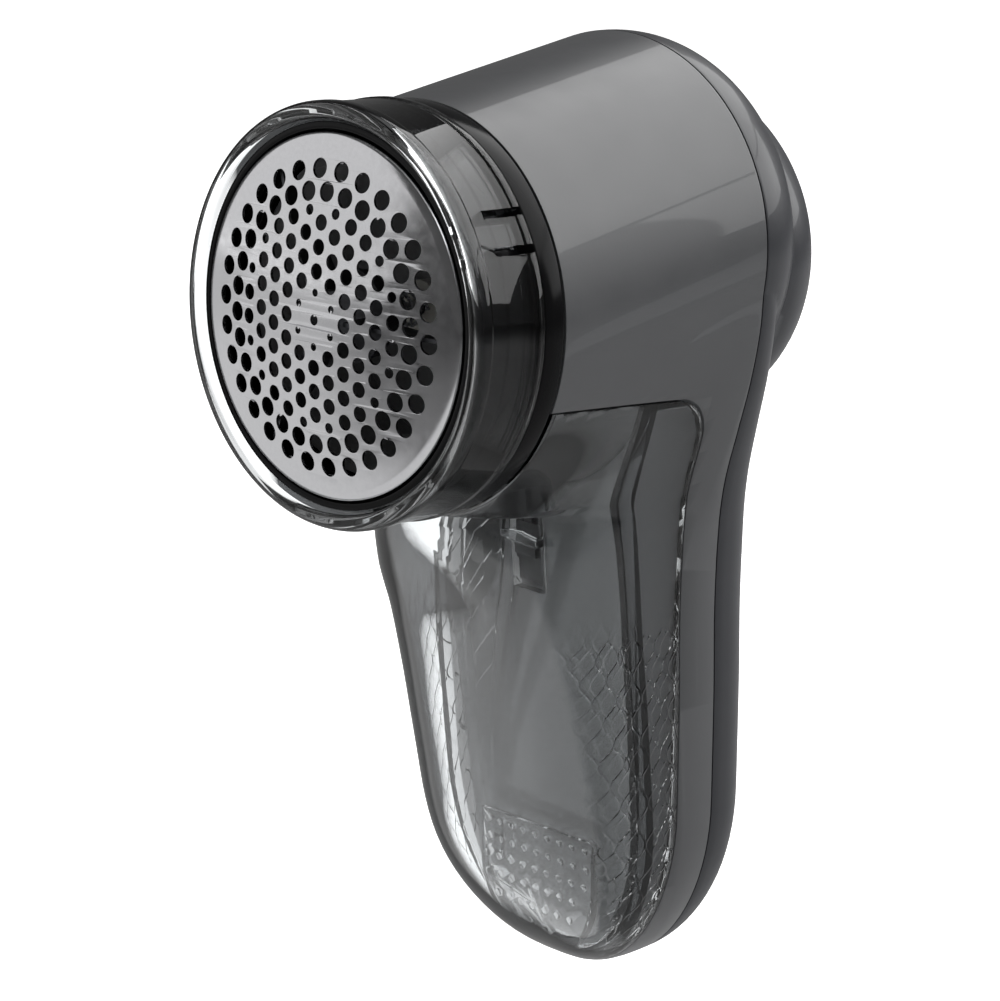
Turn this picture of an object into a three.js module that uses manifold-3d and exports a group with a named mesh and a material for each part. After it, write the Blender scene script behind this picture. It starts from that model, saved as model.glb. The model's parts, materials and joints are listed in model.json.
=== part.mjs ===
// Battery fabric shaver: a clear height spacer, a perforated shaving plate and a spinning blade set on a
// short barrel, a lint container that forms the front of the handle, two AA cells behind it, and a
// round-backed rear cover with a slide switch and a battery door.
//
// Everything is laid out in a model frame whose origin is where the barrel's axis crosses the parting
// plane of the two housing shells: +X to the right seen from the front, -Y to the front, +Z up,
// millimetres. The finished group is then centred on its bounding box.
import * as THREE from "three";
import { mergeVertices } from "three/addons/utils/BufferGeometryUtils.js";
import { ParametricGeometry } from "three/addons/geometries/ParametricGeometry.js";
import Module from "manifold-3d";

const wasm = await Module();
wasm.setup();

// ---------------------------------------------------------------- driving dimensions
const GAP = 0.3; // clearance left between pieces that touch
const WALL = 2.2; // housing wall
const CLEAR_WALL = 1.8; // lint container wall
const HEAD_TILT = THREE.MathUtils.degToRad(-2.5); // the barrel looks up at the front by this much

// Parting plane outline: a head circle that runs into the handle.
const HEAD_RADIUS = 30.9;
const HEAD_CENTRE_Z = 8.3;
const HEAD_WRAP = THREE.MathUtils.degToRad(-10); // the outline leaves the circle here
const GRIP_HALF_WIDTH = 23.3;
const TIP_CENTRE_Z = -80; // the handle ends in half an ellipse below this level
const TIP_HEIGHT = 32;
const TIP_Z = TIP_CENTRE_Z - TIP_HEIGHT;

// Stations along the barrel's own axis, from the parting plane towards the front.
const BARREL_FRONT = -43.2;
const BARREL_RADIUS = 30.6;
const BARREL_FOOT_Z = -28.7; // height of the lowest point of the barrel's front edge
const FLANGE_FRONT = -47.5;
const SPACER_REAR = FLANGE_FRONT - GAP;
const SPACER_FRONT = -60.9;
const SPACER_RADIUS = 31;
const SPACER_BORE = 28.4;
const PLATE_RADIUS = 26.6;
const PLATE_RIM = -60.1;
const PLATE_DOME = 3.05;
const PLATE_THICKNESS = 0.5;
const PLATE_SKIRT = 3; // depth of the plate's turned-back rim
const RING_RADIUS = 28;
const RING_FRONT = PLATE_RIM + 0.5;
const BOSS_RADIUS = 26.2;
const BOSS_FRONT = -54.1;
const BOWL_REAR = -34.2; // rear face of the cutter bowl's wall
const BOWL_RADIUS = 24.2;

// The inner barrel tube that holds the works, below which the lint container hangs.
const TUBE_BORE = 26.6;
const TUBE_RADIUS = 28.2;

// Rear cover.
const DOME_RADIUS = 27.5;
const DOME_DEPTH = 18.5;
const DOME_BASE = 9.9;
const DOME_CENTRE_Z = 4.7;
const BACK_DEPTH = 13.5;

// Lint container bay in the front of the handle.
const BAY_TOP_FRONT = -9; // height of the bay's upper edge at the collar
const BAY_TOP_REAR = -11.5; // and where it rounds down into the handle
const BAY_BACK = -8; // the side skirts of the container reach back to here
const BAY_CORNER = 8;
const BLOCK_FRONT = -15; // front of the battery block that stands between the skirts
const BLOCK_LEVEL = -60; // the height at which it stands there
const BLOCK_SLANT = THREE.MathUtils.degToRad(5.6); // the block's front draws back towards the tip
const BLOCK_INSET = 2.6;
const BLOCK_WALL = 1.6;
const TIP_ROUNDS = -98; // the block's front edge is rounded with the handle below this height
const PAD_HALF_WIDTH = 11.8;
const PAD_TOP = -86;
const PAD_ROUND = -95; // the pad is rounded below this height
const PAD_BOTTOM = -107;
const PAD_FACE = -15.2;

// Hole pattern of the shaving plate: hexagon rings inside, two bigger circles of holes outside.
const HOLE_PITCH = 3.48;

// Motor and battery sizes.
const MOTOR_RADIUS = 12;
const MOTOR_FRONT = -31.8;
const MOTOR_REAR = -5;
const CELL_RADIUS = 7.1;
const CELL_BODY = 49.5;
const CELL_X = 7.6;
const CELL_Y = 1.5;
const BAY_ROOF = -41.9;
const BAY_FLOOR = -97.5;

// Switch and battery door on the back.
const SWITCH_Z = -32.5;
const DOOR_HALF_WIDTH = 15.5;
const DOOR_TOP = -43;
const DOOR_BOTTOM = -96;

// ---------------------------------------------------------------- solids
// A closed three.js geometry as a manifold solid, turned so that its faces point out.
function solid(geometry) {
  const bare = geometry.index ? geometry.toNonIndexed() : geometry.clone();
  for (const name of Object.keys(bare.attributes)) {
    if (name !== "position") bare.deleteAttribute(name);
  }
  const merged = mergeVertices(bare, 1e-4);
  const corners = [];
  const index = merged.index.array;
  for (let i = 0; i < index.length; i += 3) {
    const [a, b, c] = index.subarray(i, i + 3);
    if (a !== b && b !== c && a !== c) corners.push(a, b, c);
  }
  const build = (triVerts) =>
    new wasm.Manifold(
      new wasm.Mesh({ numProp: 3, vertProperties: merged.attributes.position.array, triVerts }),
    );
  const made = build(new Uint32Array(corners));
  return made.volume() > 0 ? made : build(new Uint32Array(corners.reverse()));
}

function geometryOf(body) {
  const mesh = body.getMesh();
  const geometry = new THREE.BufferGeometry();
  geometry.setAttribute("position", new THREE.BufferAttribute(mesh.vertProperties, 3));
  geometry.setIndex(new THREE.BufferAttribute(mesh.triVerts, 1));
  geometry.computeVertexNormals();
  return geometry;
}

// A box between two corners.
function box(x0, x1, y0, y1, z0, z1) {
  const geometry = new THREE.BoxGeometry(x1 - x0, y1 - y0, z1 - z0);
  return solid(geometry.translate((x0 + x1) / 2, (y0 + y1) / 2, (z0 + z1) / 2));
}

// A turned piece about the Y axis: points are [radius, y], first and last on the axis or the same.
function turned(points, segments = 36) {
  const profile = points.map(([radius, y]) => new THREE.Vector2(radius, y));
  return solid(new THREE.LatheGeometry(profile, segments));
}

// A turned tube between two stations.
function tube(inner, outer, y0, y1, segments = 36) {
  return turned([[inner, y0], [outer, y0], [outer, y1], [inner, y1], [inner, y0]], segments);
}

// A plain rod between two stations.
function rod(radius, y0, y1, segments = 24) {
  return turned([[0, y0], [radius, y0], [radius, y1], [0, y1]], segments);
}

// An outline in X and Z, given as Vector2 points, swept from y0 to y1.
function prism(points, y0, y1) {
  const options = { depth: y1 - y0, bevelEnabled: false, curveSegments: 6 };
  const geometry = new THREE.ExtrudeGeometry(new THREE.Shape(points), options);
  return solid(geometry.rotateX(Math.PI / 2).translate(0, y1, 0));
}

// A round wire of the given radius along a curve.
function wire(curve, radius, steps, sides = 6) {
  const section = new THREE.Shape();
  section.absarc(0, 0, radius, 0, 2 * Math.PI);
  const options = { extrudePath: curve, steps, curveSegments: sides / 2, bevelEnabled: false };
  return solid(new THREE.ExtrudeGeometry(section, options));
}

// A coil of wire about a line through (x, y), standing on Z.
class Coil extends THREE.Curve {
  constructor(radius, turns, length) {
    super();
    Object.assign(this, { radius, turns, length });
  }
  getPoint(t, target = new THREE.Vector3()) {
    const angle = 2 * Math.PI * this.turns * t;
    const z = this.length * (t - 0.5);
    return target.set(this.radius * Math.cos(angle), this.radius * Math.sin(angle), z);
  }
}

// Moves a solid that was laid out along the barrel's axis into the model frame.
function inHead(body) {
  return body.rotate([THREE.MathUtils.radToDeg(HEAD_TILT), 0, 0]);
}

// A smooth function through [position, value] pairs, cubic between them and flat outside.
function smooth(pairs) {
  const slope = (i) => {
    const before = pairs[Math.max(i - 1, 0)];
    const after = pairs[Math.min(i + 1, pairs.length - 1)];
    return (after[1] - before[1]) / (after[0] - before[0]);
  };
  return (position) => {
    if (position <= pairs[0][0]) return pairs[0][1];
    const next = pairs.findIndex((pair) => pair[0] >= position);
    if (next < 0) return pairs[pairs.length - 1][1];
    const [x0, y0] = pairs[next - 1];
    const [x1, y1] = pairs[next];
    const span = x1 - x0;
    const t = (position - x0) / span;
    const rise = span * (slope(next - 1) * (t - 2 * t ** 2 + t ** 3) + slope(next) * (t ** 3 - t ** 2));
    return y0 + (y1 - y0) * (3 * t ** 2 - 2 * t ** 3) + rise;
  };
}

// ---------------------------------------------------------------- outer shape
// Half width of the parting outline at a height below the head circle and above the tip.
const sideWidth = smooth([
  [TIP_CENTRE_Z, GRIP_HALF_WIDTH], [-62, 23.1], [-47, 22.7], [-34, 23.1], [-27, 24.1],
  [-19, 26.3], [-11, 28.5], [-3, 30], [3, 30.4],
]);
// How far the front of the handle stands before the parting plane.
const frontReach = smooth([
  [TIP_Z, 20], [-102, 22], [-93, 24], [-81, 26.4], [-70, 29], [-60, 31.6], [-50, 34.8], [-45, 36.9],
  [-41, 39], [-35, 42], [BARREL_FOOT_Z, 44.4],
]);
// Squareness of the handle's front corners: 1 is a straight bevel, 2 round, 4 and over nearly square.
const frontSquareness = smooth([[TIP_Z, 3], [-90, 4], [-46, 4], [-38, 3.2], [BARREL_FOOT_Z, 2.1]]);

// Share of the tip's height used up at z: 0 where the tip starts, 1 at its end.
function tipShare(z) {
  return THREE.MathUtils.clamp((TIP_CENTRE_Z - z) / TIP_HEIGHT, 0, 1);
}

function halfWidth(z) {
  return sideWidth(z) * Math.sqrt(1 - tipShare(z) ** 2);
}

function headPoint(radius, angle) {
  return new THREE.Vector2(radius * Math.cos(angle), HEAD_CENTRE_Z + radius * Math.sin(angle));
}

const HEAD_STEPS = 14; // ribs from the top of the head to the bottom of the barrel's front edge
const GRIP_LEVELS = [-33, -38, -43, -51, -64, -77]; // ribs down the straight of the handle
const TIP_STEPS = 5;
const RIB_STEPS = 6;

// The right half of the parting outline from top to tip, as a list of ribs. Each rib knows its point on
// the parting plane, where it ends at the front, and how square it is.
function frontRibs(inset, front) {
  const ribs = [];
  const circle = BARREL_RADIUS - inset;
  const top = Math.PI / 2;
  for (let i = 0; i <= HEAD_STEPS; i++) {
    const angle = top - (Math.PI * i) / HEAD_STEPS;
    const end = new THREE.Vector3(circle * Math.cos(angle), front, circle * Math.sin(angle));
    end.applyAxisAngle(new THREE.Vector3(1, 0, 0), HEAD_TILT);
    const below = Math.max(0, (HEAD_WRAP - angle) / (HEAD_WRAP + top));
    let start = headPoint(HEAD_RADIUS - inset, angle);
    if (below > 0) {
      const z = THREE.MathUtils.lerp(headPoint(HEAD_RADIUS, HEAD_WRAP).y, BARREL_FOOT_Z, below);
      start = new THREE.Vector2(sideWidth(z) - inset, z);
    }
    if (i === HEAD_STEPS) end.x = 0;
    ribs.push({ start, end, squareness: 1.15 + 0.95 * below ** 2, onCircle: i < HEAD_STEPS });
  }
  const levels = [...GRIP_LEVELS];
  for (let i = 1; i <= TIP_STEPS; i++) {
    levels.push(TIP_CENTRE_Z - TIP_HEIGHT * Math.sin((Math.PI / 2) * (i / TIP_STEPS)));
  }
  const shrink = (TIP_HEIGHT - inset) / TIP_HEIGHT;
  for (const z of levels) {
    const share = tipShare(z);
    const level = z < TIP_CENTRE_Z ? TIP_CENTRE_Z + (z - TIP_CENTRE_Z) * shrink : z;
    const reach = (frontReach(z) - inset) * (1 - share ** 3) ** 0.45;
    const width = (sideWidth(z) - inset) * Math.sqrt(1 - share ** 2);
    ribs.push({
      start: new THREE.Vector2(width, level),
      end: new THREE.Vector3(0, -reach, level),
      squareness: frontSquareness(z),
      onCircle: false,
    });
  }
  return ribs;
}

// Point on a rib: t is 0 on the parting plane and 1 at the front.
function ribPoint(rib, t, target) {
  const power = 2 / rib.squareness;
  const angle = (t * Math.PI) / 2;
  const across = Math.max(Math.cos(angle), 0) ** power;
  const along = Math.sin(angle) ** power;
  const { start, end } = rib;
  return target.set(
    end.x + (start.x - end.x) * across,
    end.y * along,
    start.y + (end.z - start.y) * along,
  );
}

// The front half of the body, moved in from the outside by an inset: from the parting plane to the
// barrel's front edge above and to the front of the handle below.
function frontBody(inset = 0, front = BARREL_FRONT) {
  const half = frontRibs(inset, front);
  const last = half.length - 1;
  const around = 2 * last;
  const rows = RIB_STEPS + 2;
  const centre = new THREE.Vector3(0, front, 0).applyAxisAngle(new THREE.Vector3(1, 0, 0), HEAD_TILT);
  const geometry = new ParametricGeometry((u, v, target) => {
    const place = Math.round(u * around) % around;
    const rib = half[place <= last ? place : around - place];
    const row = Math.round(v * rows);
    if (row === 0) return target.set(0, 0, -40);
    if (row === rows && rib.onCircle) return target.copy(centre);
    ribPoint(rib, Math.min((row - 1) / RIB_STEPS, 1), target);
    if (place > last) target.x = -target.x;
    return target;
  }, around, rows);
  return solid(geometry);
}

// How far the back of the handle and of the head's rim stands behind the parting plane.
const backReach = smooth([[-40, BACK_DEPTH], [-28, BACK_DEPTH - 0.6], [-16, 11.5], [3, 9.5]]);
const BACK_SQUARENESS = 3;
const DOME_STEPS = 6;

// The rear half of the body: the round back of the head with its dome, and the back of the handle.
function rearBody(inset = 0) {
  const rim = HEAD_RADIUS - inset;
  const shoulder = [[0, -1], [rim, -1], [rim, 0], [rim - 0.3, 4], [rim - 1.4, 7.2 - inset / 2]];
  shoulder.push([rim - 3.2, DOME_BASE - inset], [0, DOME_BASE - inset]);
  const dome = [[0, 0], [DOME_RADIUS - inset, 0]];
  for (let i = 0; i <= DOME_STEPS; i++) {
    const angle = (Math.PI / 2) * (i / DOME_STEPS);
    const radius = i < DOME_STEPS ? (DOME_RADIUS - inset) * Math.cos(angle) : 0;
    dome.push([radius, DOME_BASE + (DOME_DEPTH - inset) * Math.sin(angle)]);
  }
  const head = turned(shoulder).translate([0, 0, HEAD_CENTRE_Z]);
  return head.add(turned(dome).translate([0, 0, DOME_CENTRE_Z])).add(handleBack(inset));
}

// The back of the handle: level cuts, each half a rounded rectangle behind the parting plane.
function handleBack(inset) {
  const levels = [6, -1, -8, -15, -22, -30, -40, -55, TIP_CENTRE_Z];
  for (let i = 1; i <= TIP_STEPS; i++) {
    levels.push(TIP_CENTRE_Z - TIP_HEIGHT * Math.sin((Math.PI / 2) * (i / TIP_STEPS)));
  }
  const across = 10;
  const around = across + 1;
  const rows = levels.length + 1;
  const shrink = (TIP_HEIGHT - inset) / TIP_HEIGHT;
  const power = 2 / BACK_SQUARENESS;
  const geometry = new ParametricGeometry((u, v, target) => {
    const row = Math.round(v * rows);
    const z = levels[THREE.MathUtils.clamp(row - 1, 0, levels.length - 1)];
    const share = tipShare(z);
    const level = z < TIP_CENTRE_Z ? TIP_CENTRE_Z + (z - TIP_CENTRE_Z) * shrink : z;
    if (row === 0) return target.set(0, 2, level);
    if (row === rows) return target.set(0, 0, level);
    const width = (sideWidth(z) - inset) * Math.sqrt(1 - share ** 2);
    const depth = (backReach(z) - inset) * Math.sqrt(1 - share ** 2.5);
    const angle = Math.PI * ((Math.round(u * around) % around) / across);
    const x = Math.sign(Math.cos(angle)) * Math.abs(Math.cos(angle)) ** power;
    return target.set(width * x, depth * Math.sin(angle) ** power, level);
  }, around, rows);
  return solid(geometry);
}

// Half width of the battery block: it never widens downwards, so that the container slides off it.
const blockSide = smooth([[-47, 20.1], [-34, 20.6], [-27, 21.6], [-19, 23.7], [-12, 25.7]]);

// The block's outline in X and Z, moved in by an inset, as a closed list of points.
function blockOutline(inset, top) {
  const right = [];
  for (const z of [top, -27, -34, -47]) {
    if (z <= top) right.push(new THREE.Vector2(blockSide(z) - inset, z));
  }
  const height = TIP_HEIGHT - BLOCK_INSET - inset;
  for (let i = 0; i < 8; i++) {
    const angle = (Math.PI / 2) * (i / 8);
    const x = (blockSide(TIP_CENTRE_Z) - inset) * Math.cos(angle);
    right.push(new THREE.Vector2(x, TIP_CENTRE_Z - height * Math.sin(angle)));
  }
  const tip = new THREE.Vector2(0, TIP_CENTRE_Z - height);
  const left = right.map((point) => new THREE.Vector2(-point.x, point.y)).reverse();
  return [...right, tip, ...left];
}

// The upright block that holds the cells, moved in by an inset: the outline swept in Y, cut off at a
// slanting front face that is moved back by a setback, and rounded off with the tip of the handle.
function batteryBlock(inset, top, setback) {
  const column = prism(blockOutline(inset, top), -40, 20);
  const front = box(-60, 60, -60, BLOCK_FRONT + setback, -80, 80).translate([0, -BLOCK_FRONT, 0]);
  const slant = [THREE.MathUtils.radToDeg(BLOCK_SLANT), 0, 0];
  const block = column.subtract(front.rotate(slant).translate([0, BLOCK_FRONT, BLOCK_LEVEL]));
  return block.intersect(frontBody(BLOCK_INSET + inset).add(box(-60, 60, -60, 20, TIP_ROUNDS, 40)));
}

// Everything behind a plane that stands before the block's front face by a distance.
function behindBlock(distance) {
  const half = box(-60, 60, BLOCK_FRONT - distance, 60, -120, 120).translate([0, -BLOCK_FRONT, 0]);
  const slant = [THREE.MathUtils.radToDeg(BLOCK_SLANT), 0, 0];
  return half.rotate(slant).translate([0, BLOCK_FRONT, BLOCK_LEVEL]);
}

// The dotted pad's block: it stands forward of the rear wall in the foot of the container.
function footPad() {
  const outline = new THREE.Shape();
  outline.moveTo(-PAD_HALF_WIDTH, PAD_TOP);
  outline.lineTo(-PAD_HALF_WIDTH, PAD_ROUND);
  outline.absellipse(0, PAD_ROUND, PAD_HALF_WIDTH, PAD_ROUND - PAD_BOTTOM, Math.PI, 2 * Math.PI, false);
  outline.lineTo(PAD_HALF_WIDTH, PAD_TOP);
  return prism(outline.extractPoints(6).shape, PAD_FACE, 0);
}

// The space in front of the battery block and below the barrel that the lint container fills, made
// smaller all round by a clearance.
function containerBay(clearance) {
  const back = BAY_BACK - clearance;
  const rear = BAY_TOP_REAR - clearance;
  // Drawn as (y, z) and swept along X.
  const side = new THREE.Shape();
  side.moveTo(-80, BAY_TOP_FRONT - clearance + 3);
  side.lineTo(-44, BAY_TOP_FRONT - clearance);
  side.lineTo(back - BAY_CORNER, rear);
  side.absarc(back - BAY_CORNER, rear - BAY_CORNER, BAY_CORNER, Math.PI / 2, 0, true);
  side.lineTo(back, -130);
  side.lineTo(-80, -130);
  const options = { depth: 100, bevelEnabled: false, curveSegments: 5 };
  const slab = new THREE.ExtrudeGeometry(side, options).translate(0, 0, -50);
  const matrix = new THREE.Matrix4().set(0, 0, 1, 0, 1, 0, 0, 0, 0, 1, 0, 0, 0, 0, 0, 1);
  const barrel = inHead(rod(TUBE_RADIUS + clearance, -62, 20, 36));
  const block = batteryBlock(-clearance, BAY_TOP_FRONT + 4, -clearance);
  return solid(slab.applyMatrix4(matrix)).subtract(block).subtract(barrel);
}

// ---------------------------------------------------------------- screws
const CASE_SCREWS = [[21.5, -17], [-21.5, -17], [0, -103]];
const SCREW_SHANK = 1.3;
const SCREW_HEAD = 2.4;

function screwHeadSeat(z) {
  return z > -50 ? 5.5 : 6;
}

function caseScrew([x, z]) {
  const seat = screwHeadSeat(z);
  const blank = turned(
    [[0, -5], [SCREW_SHANK, -5], [SCREW_SHANK, seat], [SCREW_HEAD, seat], [SCREW_HEAD, seat + 1.4],
      [0, seat + 1.4]],
    12,
  );
  const cross = box(-1.5, 1.5, seat + 0.8, seat + 3, -0.35, 0.35);
  return blank.subtract(cross).translate([x, 0, z]);
}

// ---------------------------------------------------------------- housing
const LINT_PORT = [-41, -35.6]; // the port below the cutter, along the barrel's axis

function mainHousing() {
  const parting = box(-60, 60, -GAP / 2, 60, -130, 60);
  const above = box(-60, 60, -80, 60, BAY_TOP_FRONT + WALL, 60);
  const behind = box(-60, 60, BAY_BACK + BLOCK_WALL, 60, -130, 60);
  const inside = frontBody(WALL, BARREL_FRONT - 1);
  const hollow = inside.intersect(above.add(behind))
    .add(batteryBlock(BLOCK_WALL, -20, BLOCK_WALL))
    .add(inHead(rod(TUBE_BORE, -62, 6, 36)));
  let body = frontBody().subtract(containerBay(0)).subtract(parting).subtract(hollow);
  // Bosses for the case screws, and the port that lets lint fall out of the barrel.
  for (const [x, z] of CASE_SCREWS) {
    const boss = rod(3.4, z > -50 ? -7 : -10.2, -GAP / 2, 16).translate([x, 0, z]);
    const bore = rod(SCREW_SHANK + GAP, -8, 1, 16).translate([x, 0, z]);
    body = body.add(boss.intersect(frontBody(0.5))).subtract(bore);
  }
  return body.subtract(inHead(box(-9, 9, LINT_PORT[0], LINT_PORT[1], -35, -20)));
}

function rearCover() {
  let body = rearBody().subtract(box(-60, 60, -60, GAP / 2, -130, 60));
  body = body.subtract(rearBody(WALL).subtract(box(-60, 60, -60, -0.5, -130, 60)));
  for (const [x, z] of CASE_SCREWS) {
    const seat = screwHeadSeat(z);
    const post = rod(3.6, GAP / 2, seat + 4, 16).translate([x, 0, z]).intersect(rearBody(0.3));
    const bore = rod(SCREW_SHANK + GAP, -1, seat + 4, 16).add(rod(SCREW_HEAD + GAP, seat - GAP, 30, 16));
    body = body.add(post).subtract(bore.translate([x, 0, z]));
  }
  const slot = box(-1.7, 1.7, 0, 30, SWITCH_Z - 5.5, SWITCH_Z + 7);
  return body.subtract(doorSpace(GAP)).subtract(slot);
}

// The opening for the battery door, grown by a clearance.
function doorSpace(clearance) {
  const wide = DOOR_HALF_WIDTH + clearance;
  return box(-wide, wide, 4, 30, DOOR_BOTTOM - clearance, DOOR_TOP + clearance);
}

function batteryCover() {
  const panel = rearBody().intersect(doorSpace(0)).subtract(rearBody(WALL - 0.2));
  const grip = [];
  for (let i = 0; i < 5; i++) {
    const z = DOOR_TOP - 6 - 2.4 * i;
    grip.push(box(-6, 6, BACK_DEPTH - 0.6, BACK_DEPTH + 2, z - 0.5, z + 0.5));
  }
  return grip.reduce((door, groove) => door.subtract(groove), panel);
}

// ---------------------------------------------------------------- lint container
function lintContainer() {
  const front = BARREL_FRONT + GAP;
  const shell = frontBody(0, front).intersect(containerBay(GAP));
  const inner = frontBody(CLEAR_WALL, front + CLEAR_WALL).subtract(behindBlock(GAP + CLEAR_WALL));
  const catchNotch = box(-3.2, 3.2, -22, -10, -46.5, 0);
  return shell.subtract(inner.subtract(footPad())).subtract(catchNotch);
}

const CATCH_LEVEL = -40.4;

// Snap catch on the front of the battery block that holds the container up.
function containerCatch() {
  const plate = box(-2.5, 2.5, BLOCK_FRONT - 1.4, BLOCK_FRONT - GAP, -4.7, 4.7);
  const nose = box(-2.5, 2.5, BLOCK_FRONT - 2.6, BLOCK_FRONT - 1, -0.6, 1.4);
  const upright = plate.add(nose).translate([0, -BLOCK_FRONT, CATCH_LEVEL - BLOCK_LEVEL]);
  return upright.rotate([THREE.MathUtils.radToDeg(BLOCK_SLANT), 0, 0])
    .translate([0, BLOCK_FRONT, BLOCK_LEVEL]);
}

// ---------------------------------------------------------------- shaving head
function collarRing() {
  const seat = BARREL_FRONT - GAP;
  const spigot = BARREL_FRONT + 2.2;
  return turned([
    [24.6, BOSS_FRONT], [BOSS_RADIUS, BOSS_FRONT], [BOSS_RADIUS, FLANGE_FRONT],
    [BARREL_RADIUS, FLANGE_FRONT], [BARREL_RADIUS, seat], [26.3, seat], [26.3, spigot],
    [24.6, spigot], [24.6, BOSS_FRONT],
  ]);
}

function heightSpacer() {
  const lip = 1.1; // rounding of the front edge
  const profile = [[SPACER_BORE, SPACER_REAR], [SPACER_BORE, SPACER_FRONT + 0.4]];
  profile.push([SPACER_BORE + 0.4, SPACER_FRONT]);
  for (let i = 0; i <= 3; i++) {
    const angle = (Math.PI / 2) * (i / 3);
    const radius = SPACER_RADIUS - lip + lip * Math.sin(angle);
    profile.push([radius, SPACER_FRONT + lip - lip * Math.cos(angle)]);
  }
  profile.push([SPACER_RADIUS, SPACER_REAR], [SPACER_BORE, SPACER_REAR]);
  const body = turned(profile);
  // A snap tab: a tongue between two slots that run in from the rear edge.
  const [low, high] = [14, 29].map((degrees) => THREE.MathUtils.degToRad(degrees));
  return [low, high].reduce((ring, angle) => {
    const slot = box(SPACER_BORE - 2, SPACER_RADIUS + 2, SPACER_REAR - 7, SPACER_REAR + 1, -0.5, 0.5);
    return ring.subtract(slot.rotate([0, -THREE.MathUtils.radToDeg(angle), 0]));
  }, body);
}

function retainingRing() {
  const ledge = PLATE_RIM + PLATE_SKIRT + GAP;
  const bore = PLATE_RADIUS + GAP;
  return turned([
    [bore, RING_FRONT], [RING_RADIUS, RING_FRONT], [RING_RADIUS, SPACER_REAR],
    [BOSS_RADIUS + 0.4, SPACER_REAR], [BOSS_RADIUS + 0.4, ledge + 2.2], [25.2, ledge + 1.2],
    [25.2, ledge], [bore, ledge], [bore, RING_FRONT],
  ]);
}

// All holes of the shaving plate as [x, z, radius].
function plateHoles() {
  const holes = [[0, 0, 0.8]];
  const polar = (radius, degrees, size) => {
    const angle = THREE.MathUtils.degToRad(degrees);
    holes.push([radius * Math.cos(angle), radius * Math.sin(angle), size]);
  };
  for (let i = 0; i < 6; i++) polar(1.13 * HOLE_PITCH, 30 + 60 * i, 0.6);
  for (let i = -4; i <= 4; i++) {
    for (let j = -4; j <= 4; j++) {
      const ring = Math.max(Math.abs(i), Math.abs(j), Math.abs(i + j));
      if (ring < 2 || ring > 4) continue;
      holes.push([(i * Math.sqrt(3) * HOLE_PITCH) / 2, (j + i / 2) * HOLE_PITCH, 1.2]);
    }
  }
  for (let i = 0; i < 6; i++) {
    for (const side of [-1, 1]) {
      polar(4.38 * HOLE_PITCH, 60 * i + 6.7 * side, 1.2);
      polar(4.5 * HOLE_PITCH, 30 + 60 * i + 10 * side, 0.8);
    }
  }
  for (let i = 0; i < 30; i++) {
    polar(5.26 * HOLE_PITCH, 5 + 12 * i, 1.45);
    polar(6.17 * HOLE_PITCH, 11 + 12 * i, 1.45);
  }
  return holes;
}

function plateInside(radius) {
  return PLATE_RIM + PLATE_THICKNESS - PLATE_DOME * (1 - (radius / PLATE_RADIUS) ** 2);
}

// A domed, perforated disc with a turned-back rim.
function meshPlate() {
  const disc = new THREE.Shape();
  disc.absarc(0, 0, PLATE_RADIUS - 0.05, 0, 2 * Math.PI);
  for (const [x, z, radius] of plateHoles()) {
    const hole = new THREE.Path();
    const sides = radius > 1 ? 6 : 5;
    for (let i = 0; i < sides; i++) {
      const angle = (-2 * Math.PI * i) / sides;
      const point = [x + radius * Math.cos(angle), z + radius * Math.sin(angle)];
      if (i === 0) hole.moveTo(...point);
      else hole.lineTo(...point);
    }
    hole.closePath();
    disc.holes.push(hole);
  }
  const options = { depth: PLATE_THICKNESS, bevelEnabled: false, curveSegments: 18 };
  const geometry = new THREE.ExtrudeGeometry(disc, options).rotateX(Math.PI / 2);
  const position = geometry.attributes.position;
  for (let i = 0; i < position.count; i++) {
    const radius = Math.hypot(position.getX(i), position.getZ(i));
    position.setY(i, position.getY(i) + plateInside(radius));
  }
  return solid(geometry).add(tube(26, PLATE_RADIUS, PLATE_RIM + 0.15, PLATE_RIM + PLATE_SKIRT));
}

// Three stamped blades on a disc; their edges follow the inside of the plate.
const BLADE_DISC = -55.6;

function bladeSet() {
  const outer = 24;
  const foot = BLADE_DISC - 0.2;
  const outline = [new THREE.Vector2(4, foot), new THREE.Vector2(outer, foot - 2.2)];
  for (let i = 0; i <= 4; i++) {
    const radius = outer - (i * (outer - 5)) / 4;
    outline.push(new THREE.Vector2(radius, plateInside(radius) + 0.4));
  }
  outline.push(new THREE.Vector2(4, foot - 2.2));
  const options = { depth: 0.6, bevelEnabled: false };
  const arm = solid(new THREE.ExtrudeGeometry(new THREE.Shape(outline), options).translate(0, 0, -0.3));
  return [0, 120, 240].reduce(
    (body, angle) => body.add(arm.rotate([0, angle, 0])),
    rod(7, foot - 0.2, BLADE_DISC + 0.4, 24),
  );
}

function cutterHub() {
  const front = BLADE_DISC + 0.7;
  return turned([[0, front], [6.5, front], [6.5, front + 1.6], [4, front + 2.6], [4, front + 5.1],
    [1.3, front + 5.1], [1.3, front + 2.6], [0, front + 2.6]], 24);
}

function cutterBowl() {
  const floor = BOWL_REAR + 1.4;
  const lip = BOSS_FRONT + 1.5;
  const dish = turned([[22.8, lip], [BOWL_RADIUS, lip], [BOWL_RADIUS, floor], [4.5, floor],
    [4.5, BOWL_REAR], [22.8, BOWL_REAR], [22.8, lip]]);
  const body = dish.subtract(box(-8, 8, LINT_PORT[0] + 0.4, LINT_PORT[1] - 0.4, -30, -15));
  return [-1, 1].reduce((bowl, side) => {
    return bowl.subtract(rod(1.2, BOWL_REAR - 2, floor + 1, 12).translate([8.5 * side, 0, 0]));
  }, body);
}

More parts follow.
